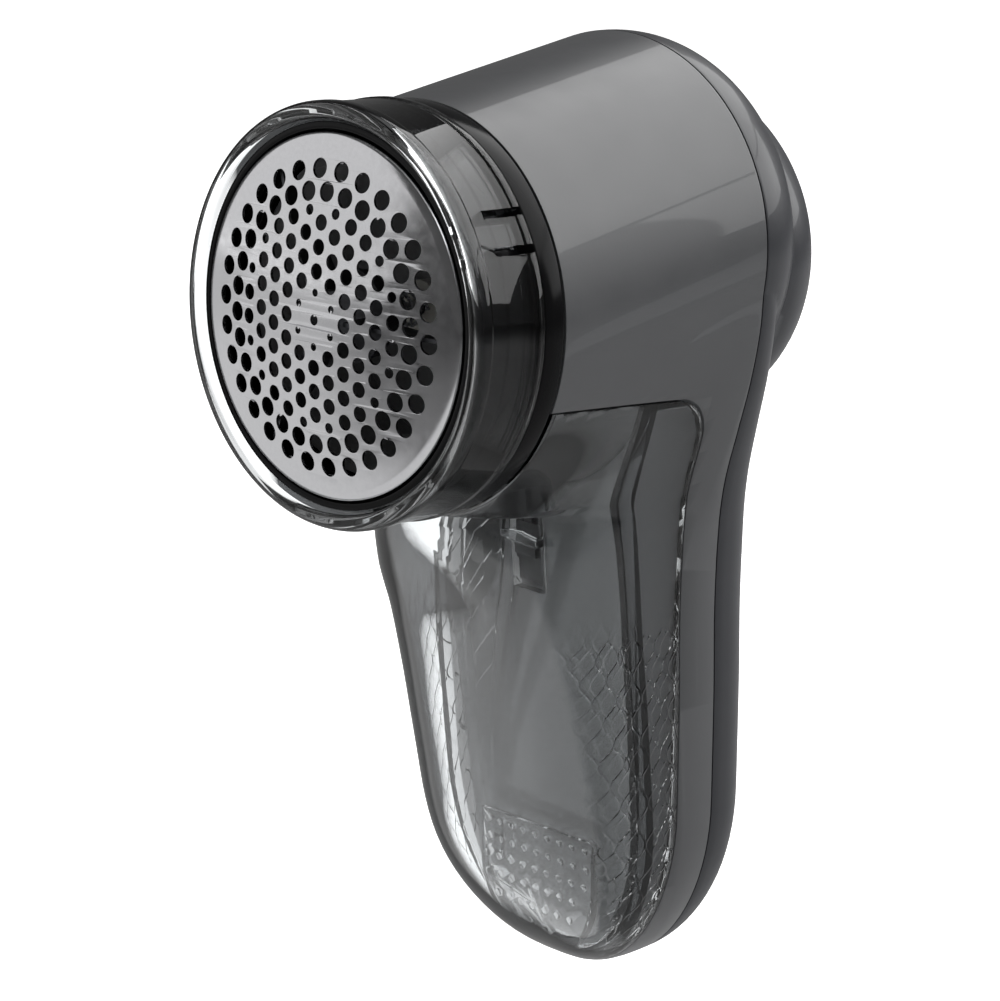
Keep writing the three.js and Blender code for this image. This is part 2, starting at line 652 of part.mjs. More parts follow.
// The sleeve that joins the bowl's port to the barrel's.
function lintDuct() {
  const [front, rear] = LINT_PORT;
  const outer = box(-8.6, 8.6, front + 0.4, rear - 0.4, -26.9, -24.6);
  return outer.subtract(box(-7.6, 7.6, front + 1.4, rear - 1.4, -30, -20));
}

// ---------------------------------------------------------------- motor
function motorCan() {
  const can = turned([[2.8, MOTOR_FRONT], [MOTOR_RADIUS, MOTOR_FRONT], [MOTOR_RADIUS, MOTOR_REAR],
    [MOTOR_RADIUS - 1, MOTOR_REAR], [MOTOR_RADIUS - 1, MOTOR_FRONT + 1], [2.8, MOTOR_FRONT + 1],
    [2.8, MOTOR_FRONT]], 32);
  const [front, back] = [MOTOR_FRONT - 1, MOTOR_FRONT + 2];
  const holes = [-1, 1].map((side) => rod(1.2, front, back, 12).translate([8.5 * side, 0, 0]));
  return holes.reduce((body, hole) => body.subtract(hole), can);
}

function motorEndCap() {
  const rear = MOTOR_REAR + GAP;
  return turned([[2.8, rear], [MOTOR_RADIUS, rear], [MOTOR_RADIUS, rear + 2], [5, rear + 2.4],
    [5, rear + 4], [2.8, rear + 4], [2.8, rear]], 32);
}

function bush(y) {
  return tube(1.3, 2.5, y, y + 2.4, 20);
}

// One of the two magnets that line the can, on the side given by sign.
function magnet(sign) {
  const ring = tube(8.6, MOTOR_RADIUS - 1 - GAP, MOTOR_FRONT + 3, MOTOR_REAR - 3, 32);
  const half = sign > 0 ? box(2.5, 20, -60, 20, -20, 20) : box(-20, -2.5, -60, 20, -20, 20);
  return ring.intersect(half);
}

function rotorCore() {
  const core = tube(1.3, 7.6, MOTOR_FRONT + 5, MOTOR_REAR - 6, 24);
  const slots = [0, 1, 2].map((i) => box(-0.8, 0.8, -40, 0, 3.5, 9).rotate([0, 120 * i, 0]));
  return slots.reduce((body, slot) => body.subtract(slot), core);
}

function motorCradle() {
  const plate = tube(MOTOR_RADIUS + GAP, TUBE_BORE - 0.5, -22, -20);
  const vents = [45, 135, 225, 315].map((angle) => {
    return rod(3.6, -24, -18, 16).translate([19.3, 0, 0]).rotate([0, angle, 0]);
  });
  return vents.reduce((body, vent) => body.subtract(vent), plate);
}

function motorTerminal(side) {
  const rear = MOTOR_REAR + 2.4 + 2 * GAP;
  return box(7 * side - 1.4, 7 * side + 1.4, rear, rear + 4.5, -0.3, 0.3);
}

function bowlScrew(side) {
  const seat = BOWL_REAR - GAP;
  const shank = rod(0.9, seat - 1, MOTOR_FRONT + 2, 12).add(rod(1.9, seat - 1.4, seat, 12));
  const slot = box(-1.2, 1.2, seat - 2, seat - 0.9, -0.3, 0.3);
  return shank.subtract(slot).translate([8.5 * side, 0, 0]);
}

// ---------------------------------------------------------------- battery bay
// A plain AA cell standing on its flat end, nub up, centred on its body.
function cell() {
  const half = CELL_BODY / 2;
  const profile = [[0, -half], [CELL_RADIUS, -half], [CELL_RADIUS, half], [2.6, half], [2.6, half + 1],
    [0, half + 1]];
  return turned(profile, 24).rotate([90, 0, 0]);
}

function batteryTray() {
  const half = 13;
  const back = CELL_Y - CELL_RADIUS - 0.4;
  const sheet = box(-half, half, back - 1.2, back, BAY_FLOOR - 1.2, BAY_ROOF + 1.2);
  const roof = box(-half, half, back - 1, CELL_Y + 6, BAY_ROOF, BAY_ROOF + 1.2);
  const floor = box(-half, half, back - 1, CELL_Y + 5, BAY_FLOOR - 1.2, BAY_FLOOR);
  return sheet.add(roof).add(floor);
}

function contactPlate(x0, x1, z) {
  return box(x0, x1, CELL_Y - 4, CELL_Y + 4, z - 0.15, z + 0.15);
}

function coilSpring(radius, turns, length, wireRadius) {
  return wire(new Coil(radius, turns, length), wireRadius, 10 * turns, 6);
}

// ---------------------------------------------------------------- switch
const SWITCH_DEPTH = 8; // rear face of the switch inside the cover

function switchBody() {
  const body = box(-4.5, 4.5, SWITCH_DEPTH - 5, SWITCH_DEPTH, SWITCH_Z - 6, SWITCH_Z + 7.5);
  return body.subtract(box(-1.4, 1.4, SWITCH_DEPTH - 3, SWITCH_DEPTH + 1, SWITCH_Z - 3.5, SWITCH_Z + 5.5));
}

function switchLever() {
  return box(-1, 1, SWITCH_DEPTH - 2.6, SWITCH_DEPTH + 0.6, SWITCH_Z - 1.2, SWITCH_Z + 1.2);
}

function switchSlider() {
  const skin = BACK_DEPTH + 0.2;
  const cap = box(-6, 6, skin, skin + 1.6, SWITCH_Z - 4.5, SWITCH_Z + 3);
  const stem = box(-1.3, 1.3, SWITCH_DEPTH + 0.9, skin + 1, SWITCH_Z - 2.5, SWITCH_Z + 2.5);
  const ridges = [-1, 0, 1].map((i) => {
    const z = SWITCH_Z - 0.75 + 2 * i;
    return box(-4.5, 4.5, skin + 1, skin + 2.2, z - 0.4, z + 0.4);
  });
  return ridges.reduce((body, ridge) => body.add(ridge), cap.add(stem));
}

// A lead from a motor terminal down to the switch.
function motorLead(side) {
  const points = [[7, 3.6, -1.6], [7.6, 5.2, -8], [5.4, 5.6, -17], [3, 5.6, -24.6]];
  const path = points.map(([x, y, z]) => new THREE.Vector3(x * side, y, z));
  return wire(new THREE.CatmullRomCurve3(path), 0.6, 12);
}

// ---------------------------------------------------------------- assembly
const finish = (color, roughness, metalness = 0, opacity = 1) =>
  new THREE.MeshStandardMaterial({ color, roughness, metalness, opacity, transparent: opacity < 1 });

const GREY = [0x86888a, 0.4];
const DARK_GREY = [0x3f4143, 0.45];
const BLACK = [0x141516, 0.3];
const CLEAR = [0xd8dadc, 0.08, 0, 0.35];
const STEEL = [0xb9bbbd, 0.3, 1];
const BRASS = [0xc9a34a, 0.35, 1];
const WHITE = [0xd9d9d4, 0.5];
const COPPER = [0xa9572e, 0.4, 1];

const model = new THREE.Group();
const head = new THREE.Group();
head.rotation.x = HEAD_TILT;
model.add(head);

function place(parent, name, body, look) {
  const mesh = new THREE.Mesh(geometryOf(body), finish(...look));
  mesh.name = name;
  parent.add(mesh);
  return mesh;
}

place(model, "main_housing", mainHousing(), GREY);
place(model, "rear_cover", rearCover(), DARK_GREY);
place(model, "battery_cover", batteryCover(), DARK_GREY);
place(model, "lint_container", lintContainer(), CLEAR);
place(model, "container_catch", containerCatch(), BLACK);
CASE_SCREWS.forEach((spot, i) => place(model, `case_screw_${i + 1}`, caseScrew(spot), STEEL));

place(head, "collar_ring", collarRing(), BLACK);
place(head, "height_spacer", heightSpacer(), CLEAR);
place(head, "retaining_ring", retainingRing(), BLACK);
place(head, "mesh_plate", meshPlate(), STEEL);
place(head, "blade_set", bladeSet(), STEEL);
place(head, "cutter_hub", cutterHub(), WHITE);
place(head, "drive_sleeve", tube(1.3, 4, -42.3, -36, 20), WHITE);
place(head, "cutter_spring", coilSpring(2.6, 4, 5.8, 0.3).rotate([90, 0, 0]).translate([0, -46, 0]), STEEL);
place(head, "cutter_bowl", cutterBowl(), BLACK);
place(head, "lint_duct", lintDuct(), BLACK);

place(head, "motor_can", motorCan(), STEEL);
place(head, "motor_end_cap", motorEndCap(), WHITE);
place(head, "motor_shaft", rod(1, BLADE_DISC + 3.6, MOTOR_REAR + 4, 16), STEEL);
place(head, "rotor_core", rotorCore(), COPPER);
place(head, "commutator", tube(1.3, 3.4, MOTOR_REAR - 5, MOTOR_REAR - 1, 18), COPPER);
place(head, "motor_bush_front", bush(MOTOR_FRONT + 0.1), BRASS);
place(head, "motor_bush_rear", bush(MOTOR_REAR + 1), BRASS);
place(head, "motor_cradle", motorCradle(), BLACK);
for (const [name, side] of [["left", -1], ["right", 1]]) {
  place(head, `magnet_${name}`, magnet(side), DARK_GREY);
  place(head, `motor_terminal_${name}`, motorTerminal(side), BRASS);
  place(head, `bowl_screw_${name}`, bowlScrew(side), STEEL);
}

const leftCell = place(model, "battery_left", cell(), WHITE);
leftCell.position.set(-CELL_X, CELL_Y, BAY_ROOF - 1.9 - CELL_BODY / 2);
const rightCell = place(model, "battery_right", cell(), WHITE);
rightCell.position.set(CELL_X, CELL_Y, BAY_FLOOR + 1.9 + CELL_BODY / 2);
rightCell.rotation.x = Math.PI;
place(model, "battery_tray", batteryTray(), BLACK);
place(model, "contact_plate_left", contactPlate(-12, -3, BAY_ROOF - 0.45), BRASS);
place(model, "contact_plate_right", contactPlate(3, 12, BAY_ROOF - 0.45), BRASS);
place(model, "contact_bridge", contactPlate(-12, 12, BAY_FLOOR + 0.45), BRASS);
const springs = [
  ["contact_spring_top", CELL_X, BAY_ROOF - 2.4],
  ["contact_spring_bottom", -CELL_X, BAY_FLOOR + 2.4],
];
for (const [name, x, z] of springs) {
  place(model, name, coilSpring(3.4, 3, 2.4, 0.3), STEEL).position.set(x, CELL_Y, z);
}

place(model, "switch_body", switchBody(), BLACK);
place(model, "motor_lead_left", motorLead(-1), BLACK);
place(model, "motor_lead_right", motorLead(1), COPPER);
place(model, "switch_lever", switchLever(), WHITE);
place(model, "switch_slider", switchSlider(), BLACK);

const size = new THREE.Box3().setFromObject(model, true);
const group = new THREE.Group();
model.position.copy(size.getCenter(new THREE.Vector3())).negate();
group.add(model);
export default group;
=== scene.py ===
import json
import math

import bmesh
import bpy
import numpy as np
from mathutils import Matrix, Vector


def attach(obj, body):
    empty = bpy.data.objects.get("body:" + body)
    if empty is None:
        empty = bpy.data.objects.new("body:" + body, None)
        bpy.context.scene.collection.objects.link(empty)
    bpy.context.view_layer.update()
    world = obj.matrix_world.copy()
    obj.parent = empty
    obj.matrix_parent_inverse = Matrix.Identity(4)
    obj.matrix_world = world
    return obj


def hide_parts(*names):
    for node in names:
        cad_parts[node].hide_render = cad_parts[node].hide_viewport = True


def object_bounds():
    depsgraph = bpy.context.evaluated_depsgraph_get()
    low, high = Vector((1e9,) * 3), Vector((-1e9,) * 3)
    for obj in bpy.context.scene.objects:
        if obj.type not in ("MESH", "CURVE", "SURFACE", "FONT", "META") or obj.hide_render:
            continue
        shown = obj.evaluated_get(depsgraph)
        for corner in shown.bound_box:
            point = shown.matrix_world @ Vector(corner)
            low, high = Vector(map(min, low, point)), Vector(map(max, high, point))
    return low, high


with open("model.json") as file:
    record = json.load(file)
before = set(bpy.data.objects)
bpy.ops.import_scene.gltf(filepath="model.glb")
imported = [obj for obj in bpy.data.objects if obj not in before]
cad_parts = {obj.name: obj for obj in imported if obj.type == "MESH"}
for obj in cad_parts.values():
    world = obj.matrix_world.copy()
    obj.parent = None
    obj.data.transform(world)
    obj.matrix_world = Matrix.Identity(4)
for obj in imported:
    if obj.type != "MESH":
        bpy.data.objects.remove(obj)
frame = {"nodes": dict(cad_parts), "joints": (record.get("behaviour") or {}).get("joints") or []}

CAD_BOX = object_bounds()

# ------------------------------------------------------------------ frame
# Lengths are millimetres in the model frame, unless a comment says metres. Its origin, which comes from
# the record, is where the head's axis crosses the seam plane of the two shells, with +X right seen from
# the front, -Y front and +Z up.
SPIN = next(j for j in frame["joints"] if j["name"] == "cutter_spin")
SLIDE = next(j for j in frame["joints"] if j["name"] == "container_slide")
ORIGIN = np.array(SPIN["pos_m"]) * 1000
AXIS = Vector(SPIN["axis"])
HEAD_TILT = -math.atan2(AXIS.z, -AXIS.y)

GAP = 0.3
WALL = 2.2
CLEAR_WALL = 1.8
HEAD_RADIUS = 30.88
HEAD_CENTRE_Z = 8.3
HEAD_WRAP = math.radians(-10)
TIP_CENTRE_Z = -80
TIP_HEIGHT = 31.96
TIP_Z = TIP_CENTRE_Z - TIP_HEIGHT
BARREL_FRONT = -43.2
BARREL_RADIUS = 30.6
BARREL_FOOT_Z = -28.7
FLANGE_FRONT = -47.5
SPACER_REAR = FLANGE_FRONT - GAP
SPACER_FRONT = -60.9
SPACER_RADIUS = 31.0
SPACER_BORE = 28.4
PLATE_RADIUS = 26.6
PLATE_RIM = -60.1
PLATE_DOME = 3.05
BOSS_RADIUS = 26.2
BOSS_FRONT = -54.1
TUBE_BORE = 26.6
TUBE_RADIUS = 28.2
DOME_RADIUS = 27.5
DOME_DEPTH = 18.5
DOME_BASE = 9.9
DOME_CENTRE_Z = 4.7
BACK_DEPTH = 13.5
BAY_TOP_FRONT = -9
BAY_TOP_REAR = -11.5
BAY_BACK = -8
BAY_CORNER = 8
BLOCK_FRONT = -15
BLOCK_LEVEL = -60
BLOCK_SLANT = math.radians(5.6)
BLOCK_INSET = 2.6
BLOCK_WALL = 1.6
TIP_ROUNDS = -98
PAD_HALF_WIDTH = 11.8
PAD_TOP = -86
PAD_ROUND = -95
PAD_BOTTOM = -107
PAD_FACE = -15.2
CATCH_LEVEL = -40.4
RIB_LEVELS = (-41.5, -44.2, -46.8)
HOLE_PITCH = 3.48
SWITCH_Z = -32.5
DOOR_HALF_WIDTH = 15.5
DOOR_TOP = -43
DOOR_BOTTOM = -96
SLOT_DEGREES = (24.9, 35.3)
SLOT_HALF_WIDTH = 0.65
SLOT_LENGTH = 7.6
# Each case screw: x, z, the front end of its boss and the level of its head's seat.
CASE_SCREWS = [(21.5, -17, -7, 5.5), (-21.5, -17, -7, 5.5), (0, -103, -10.2, 6)]
SCREW_BORE = 1.6

# Reaches of the boxes and rods that cut: past the part, below it, and ahead of it along the axis.
FAR = 60
UNDER = -130
AHEAD = -62


def to_row(points):
    """Model millimetres to row-frame metres."""
    return (np.asarray(points, float) + ORIGIN) / 1000


def tilted(points):
    """Points laid out along the head's axis, turned into the model frame."""
    p = np.asarray(points, float)
    c, s = math.cos(HEAD_TILT), math.sin(HEAD_TILT)
    return np.stack([p[..., 0], p[..., 1] * c - p[..., 2] * s, p[..., 1] * s + p[..., 2] * c], -1)


def smooth(pairs):
    """A cubic through [position, value] pairs, flat outside them."""
    xs = [p[0] for p in pairs]
    ys = [p[1] for p in pairs]

    def slope(i):
        a, b = max(i - 1, 0), min(i + 1, len(xs) - 1)
        return (ys[b] - ys[a]) / (xs[b] - xs[a])

    def value(x):
        if x <= xs[0]:
            return ys[0]
        if x >= xs[-1]:
            return ys[-1]
        k = next(i for i, v in enumerate(xs) if v >= x)
        span = xs[k] - xs[k - 1]
        t = (x - xs[k - 1]) / span
        rise = span * (slope(k - 1) * (t - 2 * t**2 + t**3) + slope(k) * (t**3 - t**2))
        return ys[k - 1] + (ys[k] - ys[k - 1]) * (3 * t**2 - 2 * t**3) + rise

    return value


side_width = smooth([
    [TIP_CENTRE_Z, 23.3], [-62, 23.1], [-47, 22.7], [-34, 23.1], [-27, 24.1],
    [-19, 26.3], [-11, 28.5], [-3, 30], [3, 30.4],
])
front_reach = smooth([
    [TIP_Z, 20], [-102, 22], [-93, 24], [-81, 26.4], [-70, 29], [-60, 31.6], [-50, 34.8], [-45, 36.9],
    [-41, 39], [-35, 42], [BARREL_FOOT_Z, 44.4],
])
front_squareness = smooth([[TIP_Z, 3], [-90, 4], [-46, 4], [-38, 3.2], [BARREL_FOOT_Z, 2.1]])
back_reach = smooth([[-40, BACK_DEPTH], [-28, BACK_DEPTH - 0.6], [-16, 11.5], [3, 9.5]])
block_side = smooth([[-47, 20.1], [-34, 20.6], [-27, 21.6], [-19, 23.7], [-12, 25.7]])


def tip_share(z):
    return min(max((TIP_CENTRE_Z - z) / TIP_HEIGHT, 0), 1)


# ------------------------------------------------------------------ mesh tools
CORNER_STEPS = 3
TUBE_SIDES = 144
ROD_SIDES = 40


def linked(name, data):
    """A new object in the scene."""
    obj = bpy.data.objects.new(name, data)
    bpy.context.scene.collection.objects.link(obj)
    return obj


def evaluated(obj):
    """A new mesh of an object with its modifiers applied."""
    bpy.context.view_layer.update()
    depsgraph = bpy.context.evaluated_depsgraph_get()
    return bpy.data.meshes.new_from_object(obj.evaluated_get(depsgraph))


def new_object(name, vertices, faces):
    mesh = bpy.data.meshes.new(name)
    mesh.from_pydata([tuple(v) for v in to_row(vertices)], [], [tuple(f) for f in faces])
    mesh.validate()
    bm = bmesh.new()
    bm.from_mesh(mesh)
    bmesh.ops.remove_doubles(bm, verts=bm.verts, dist=1e-7)
    bmesh.ops.dissolve_degenerate(bm, edges=bm.edges, dist=1e-8)
    bmesh.ops.recalc_face_normals(bm, faces=bm.faces)
    bm.to_mesh(mesh)
    bm.free()
    return linked(name, mesh)


def grid_faces(rows, columns):
    """The faces between rows of points that each run once round."""
    faces = []
    for i in range(rows - 1):
        here, below = i * columns, (i + 1) * columns
        for j in range(columns):
            k = (j + 1) % columns
            faces.append((here + j, here + k, below + k, below + j))
    return faces


def lathe(name, profile, segments, centre_z=0.0, head=True):
    """A turned solid about Y or the head's axis, from a closed or axis-to-axis [radius, y] profile."""
    pts = list(profile)
    closed = pts[0] == pts[-1]
    if closed:
        pts = pts[:-1]
    angles = np.linspace(0, 2 * math.pi, segments, endpoint=False)
    rows = []
    for r, y in pts:
        rows.append(np.stack([r * np.cos(angles), np.full(segments, y), r * np.sin(angles)], -1))
    verts = np.concatenate(rows)
    if head:
        verts = tilted(verts)
    verts = verts + np.array([0, 0, centre_z])
    n = len(pts)
    faces = grid_faces(n, segments)
    if closed:
        last = (n - 1) * segments
        for j in range(segments):
            k = (j + 1) % segments
            faces.append((last + j, last + k, k, j))
    return new_object(name, verts, faces)


def rounded(points, radius):
    """A closed [r, y] polygon with its corners rounded off."""
    pts = [np.array(p, float) for p in points[:-1]]
    out = []
    for i, p in enumerate(pts):
        a, b = pts[i - 1], pts[(i + 1) % len(pts)]
        u, v = a - p, b - p
        lu, lv = np.linalg.norm(u), np.linalg.norm(v)
        r = min(radius, 0.45 * lu, 0.45 * lv)
        u, v = u / lu, v / lv
        if abs(u[0] * v[1] - u[1] * v[0]) < 0.05:
            out.append(tuple(p))
            continue
        for k in range(CORNER_STEPS + 1):
            t = k / CORNER_STEPS
            q = (1 - t) ** 2 * (p + u * r) + 2 * t * (1 - t) * p + t**2 * (p + v * r)
            out.append(tuple(q))
    return out + [out[0]]


def box(name, x0, x1, y0, y1, z0, z1):
    v = [(x, y, z) for x in (x0, x1) for y in (y0, y1) for z in (z0, z1)]
    f = [(0, 1, 3, 2), (4, 6, 7, 5), (0, 4, 5, 1), (2, 3, 7, 6), (0, 2, 6, 4), (1, 5, 7, 3)]
    return new_object(name, v, f)


def slab(name, y0, y1, z0=UNDER, z1=FAR):
    """A box wider than the part, to cut or to keep what is inside it."""
    return box(name, -FAR, FAR, y0, y1, z0, z1)


def swept(name, start, end):
    """The solid between two copies of a closed outline."""
    n = len(start)
    faces = [tuple(range(n)), tuple(range(2 * n - 1, n - 1, -1))]
    faces += [(i, (i + 1) % n, n + (i + 1) % n, n + i) for i in range(n)]
    return new_object(name, start + end, faces)


def prism(name, outline, y0, y1):
    """A closed XZ outline swept in Y."""
    return swept(name, [(x, y0, z) for x, z in outline], [(x, y1, z) for x, z in outline])


def core(name, radius, back):
    """A cylinder on the head's axis, from ahead of the part to a station behind."""
    return lathe(name, [(0, AHEAD), (radius, AHEAD), (radius, back), (0, back)], TUBE_SIDES)


def rod(name, radius, y0, y1, x=0.0, z=0.0):
    """A cylinder along Y."""
    profile = [(0, y0), (radius, y0), (radius, y1), (0, y1)]
    return shift(lathe(name, profile, ROD_SIDES, head=False), x, 0, z)


def turn(obj, axis, angle, about=(0, 0, 0)):
    """Turns an object's mesh about a line through a model-frame point."""
    p = Vector(to_row(np.array(about, float)))
    obj.data.transform(Matrix.Translation(p) @ Matrix.Rotation(angle, 4, axis) @ Matrix.Translation(-p))
    return obj


def shift(obj, x=0.0, y=0.0, z=0.0):
    obj.data.transform(Matrix.Translation(Vector((x, y, z)) / 1000))
    return obj


def boolean(obj, operation, tool):
    """Cuts, joins or intersects an object's mesh with a tool, and uses the tool up."""
    m = obj.modifiers.new("b", "BOOLEAN")
    m.operation = operation
    m.object = tool
    m.solver = "MANIFOLD"
    made = evaluated(obj)
    obj.modifiers.clear()
    if len(made.polygons) == 0:
        raise RuntimeError(f"boolean {operation} of {obj.name} and {tool.name} left nothing")
    obj.data = made
    bpy.data.objects.remove(tool)
    return obj


def cut(obj, tool):
    return boolean(obj, "DIFFERENCE", tool)


def join(obj, tool):
    return boolean(obj, "UNION", tool)


def common(obj, tool):
    return boolean(obj, "INTERSECT", tool)


def finish_mesh(obj, name, body, angle, bevel=0.0):
    """Cleans a cut mesh, bevels its edges a little and shades it smooth up to an angle."""
    bm = bmesh.new()
    bm.from_mesh(obj.data)
    bmesh.ops.remove_doubles(bm, verts=bm.verts, dist=4e-6)
    bmesh.ops.dissolve_degenerate(bm, edges=bm.edges, dist=1e-7)
    bm.to_mesh(obj.data)
    bm.free()
    obj.name = name
    obj.data.name = name
    if bevel:
        m = obj.modifiers.new("edges", "BEVEL")
        m.width = bevel / 1000
        m.segments = 2
        m.limit_method = "ANGLE"
        m.angle_limit = math.radians(40)
        m.use_clamp_overlap = True
        m.harden_normals = False
        made = evaluated(obj)
        obj.modifiers.clear()
        obj.data = made
    for p in obj.data.polygons:
        p.use_smooth = True
    obj.data.set_sharp_from_angle(angle=math.radians(angle))
    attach(obj, body)
    return obj


# ------------------------------------------------------------------ outer shape
HEAD_STEPS = 60
TIP_STEPS = 22
RIB_STEPS = 26
BACK_STEPS = 48
DOME_STEPS = 30
DOME_SIDES = 160
RIM_STEPS = 14
RIM_DROP = 3.2
RIM_POWER = 2.4
BLOCK_LEVELS = (-19, -23, -27, -30, -34, -38, -42, -47)


def handle_levels(top, count):
    """Levels down the handle: evenly to the tip's centre, then closer and closer to its end."""
    tip = [TIP_HEIGHT * math.sin(math.pi / 2 * i / TIP_STEPS) for i in range(1, TIP_STEPS + 1)]
    return list(np.linspace(top, TIP_CENTRE_Z + 1, count)) + [TIP_CENTRE_Z - drop for drop in tip]


def drawn_in(z, inset):
    """A level of the rounded tip, moved towards the tip's centre by an inset at its end."""
    if z >= TIP_CENTRE_Z:
        return z
    return TIP_CENTRE_Z + (z - TIP_CENTRE_Z) * ((TIP_HEIGHT - inset) / TIP_HEIGHT)


def front_ribs(inset, front):
    """The front shell's ribs: each one's start, end, squareness, and whether the barrel ends it."""
    ribs = []
    circle = BARREL_RADIUS - inset
    top = math.pi / 2
    for i in range(HEAD_STEPS + 1):
        angle = top - math.pi * i / HEAD_STEPS
        end = tilted([circle * math.cos(angle), front, circle * math.sin(angle)])
        below = max(0, (HEAD_WRAP - angle) / (HEAD_WRAP + top))
        radius = HEAD_RADIUS - inset
        start = (radius * math.cos(angle), HEAD_CENTRE_Z + radius * math.sin(angle))
        if below > 0:
            z0 = HEAD_CENTRE_Z + HEAD_RADIUS * math.sin(HEAD_WRAP)
            z = z0 + (BARREL_FOOT_Z - z0) * below
            start = (side_width(z) - inset, z)
        if i == HEAD_STEPS:
            end[0] = 0
        ribs.append((start, end, 1.15 + 0.95 * below**2, i < HEAD_STEPS))
    for z in handle_levels(-30.5, 26):
        share = tip_share(z)
        level = drawn_in(z, inset)
        reach = (front_reach(z) - inset) * max(1 - share**3, 0) ** 0.45
        width = (side_width(z) - inset) * math.sqrt(max(1 - share**2, 0))
        ribs.append(((width, level), np.array([0, -reach, level]), front_squareness(z), False))
    return ribs


def rib_point(rib, t):
    (sx, sz), end, square, _ = rib
    angle = t * math.pi / 2
    across = max(math.cos(angle), 0) ** (2 / square)
    along = math.sin(angle) ** (2 / square)
    return (end[0] + (sx - end[0]) * across, end[1] * along, sz + (end[2] - sz) * along)


def front_body(inset=0.0, front=BARREL_FRONT):
    half = front_ribs(inset, front)
    last = len(half) - 1
    ring = list(range(last + 1)) + list(range(last - 1, 0, -1))
    sign = [1] * (last + 1) + [-1] * (last - 1)
    verts = []
    for r in range(RIB_STEPS + 1):
        t = r / RIB_STEPS
        for k, s in zip(ring, sign):
            x, y, z = rib_point(half[k], t)
            verts.append((x * s, y, z))
    n = len(ring)
    faces = grid_faces(RIB_STEPS + 1, n)
    verts.append((0, 0, -40))
    back = len(verts) - 1
    centre = tilted([0, front, 0])
    verts.append(tuple(centre))
    middle = len(verts) - 1
    for j in range(n):
        k = (j + 1) % n
        faces.append((back, k, j))
        row = RIB_STEPS * n
        if half[ring[j]][3] or half[ring[k]][3]:
            faces.append((middle, row + j, row + k))
    return new_object("front_body", verts, faces)


def handle_back(inset):
    levels = handle_levels(8, 44)
    verts = []
    for z in levels:
        share = tip_share(z)
        level = drawn_in(z, inset)
        width = (side_width(z) - inset) * math.sqrt(max(1 - share**2, 0))
        depth = (back_reach(z) - inset) * math.sqrt(max(1 - share**2.5, 0))
        for i in range(BACK_STEPS + 1):
            angle = math.pi * i / BACK_STEPS
            c, s = math.cos(angle), max(math.sin(angle), 0)
            x = math.copysign(abs(c) ** (2 / 3), c)
            verts.append((width * x, depth * s ** (2 / 3), level))
    n = BACK_STEPS + 1
    faces = grid_faces(len(levels), n)
    verts.append((0, 2, levels[0]))
    top = len(verts) - 1
    for j in range(n):
        faces.append((top, (j + 1) % n, j))
    return new_object("handle_back", verts, faces)


def rear_body(inset=0.0):
    rim = HEAD_RADIUS - inset
    profile = [(0, -1), (rim, -1)]
    for i in range(RIM_STEPS + 1):
        y = (DOME_BASE - inset) * i / RIM_STEPS
        profile.append((rim - RIM_DROP * (y / DOME_BASE) ** RIM_POWER, y))
    profile.append((0, DOME_BASE - inset))
    body = lathe("rear_body", profile, DOME_SIDES, HEAD_CENTRE_Z, head=False)
    dome = [(0, 0), (DOME_RADIUS - inset, 0)]
    for i in range(DOME_STEPS + 1):
        angle = math.pi / 2 * i / DOME_STEPS
        r = (DOME_RADIUS - inset) * math.cos(angle) if i < DOME_STEPS else 0
        dome.append((r, DOME_BASE + (DOME_DEPTH - inset) * math.sin(angle)))
    join(body, lathe("dome", dome, DOME_SIDES, DOME_CENTRE_Z, head=False))
    return join(body, handle_back(inset))


def block_outline(inset, top):
    right = [(block_side(z) - inset, z) for z in (top, *BLOCK_LEVELS) if z <= top]
    height = TIP_HEIGHT - BLOCK_INSET - inset
    width = block_side(TIP_CENTRE_Z) - inset
    for i in range(20):
        a = math.pi / 2 * i / 20
        right.append((width * math.cos(a), TIP_CENTRE_Z - height * math.sin(a)))
    left = [(-x, z) for x, z in reversed(right)]
    return right + [(0, TIP_CENTRE_Z - height)] + left


def slanted(obj):
    """Turns something laid out about the block's front plane to that plane's slant."""
    return turn(obj, "X", BLOCK_SLANT, (0, BLOCK_FRONT, BLOCK_LEVEL))


def battery_block(inset, top, setback):
    """The block over the cells that stands in the bay, with a slanted front and a rounded foot."""
    column = prism("block", block_outline(inset, top), -40, 20)
    before = slab("before", -FAR, BLOCK_FRONT + setback, BLOCK_LEVEL - 80, BLOCK_LEVEL + 80)
    cut(column, slanted(before))
    limit = join(front_body(BLOCK_INSET + inset), slab("limit", -FAR, 20, TIP_ROUNDS, 40))
    return common(column, limit)


def container_bay(clearance):
    """The space in the handle that the container slides into, less the battery block and the tube."""
    back, rear = BAY_BACK - clearance, BAY_TOP_REAR - clearance
    ahead, steps, half_width = -80, 12, 50
    pts = [(ahead, BAY_TOP_FRONT - clearance + 3), (-44, BAY_TOP_FRONT - clearance)]
    for i in range(steps + 1):
        a = math.pi / 2 * (1 - i / steps)
        y = back - BAY_CORNER + BAY_CORNER * math.cos(a)
        pts.append((y, rear - BAY_CORNER + BAY_CORNER * math.sin(a)))
    pts += [(back, UNDER), (ahead, UNDER)]
    left, right = ([(x, y, z) for y, z in pts] for x in (-half_width, half_width))
    bay = swept("bay", left, right)
    cut(bay, battery_block(-clearance, BAY_TOP_FRONT + 4, -clearance))
    return cut(bay, core("tube", TUBE_RADIUS + clearance, 20))


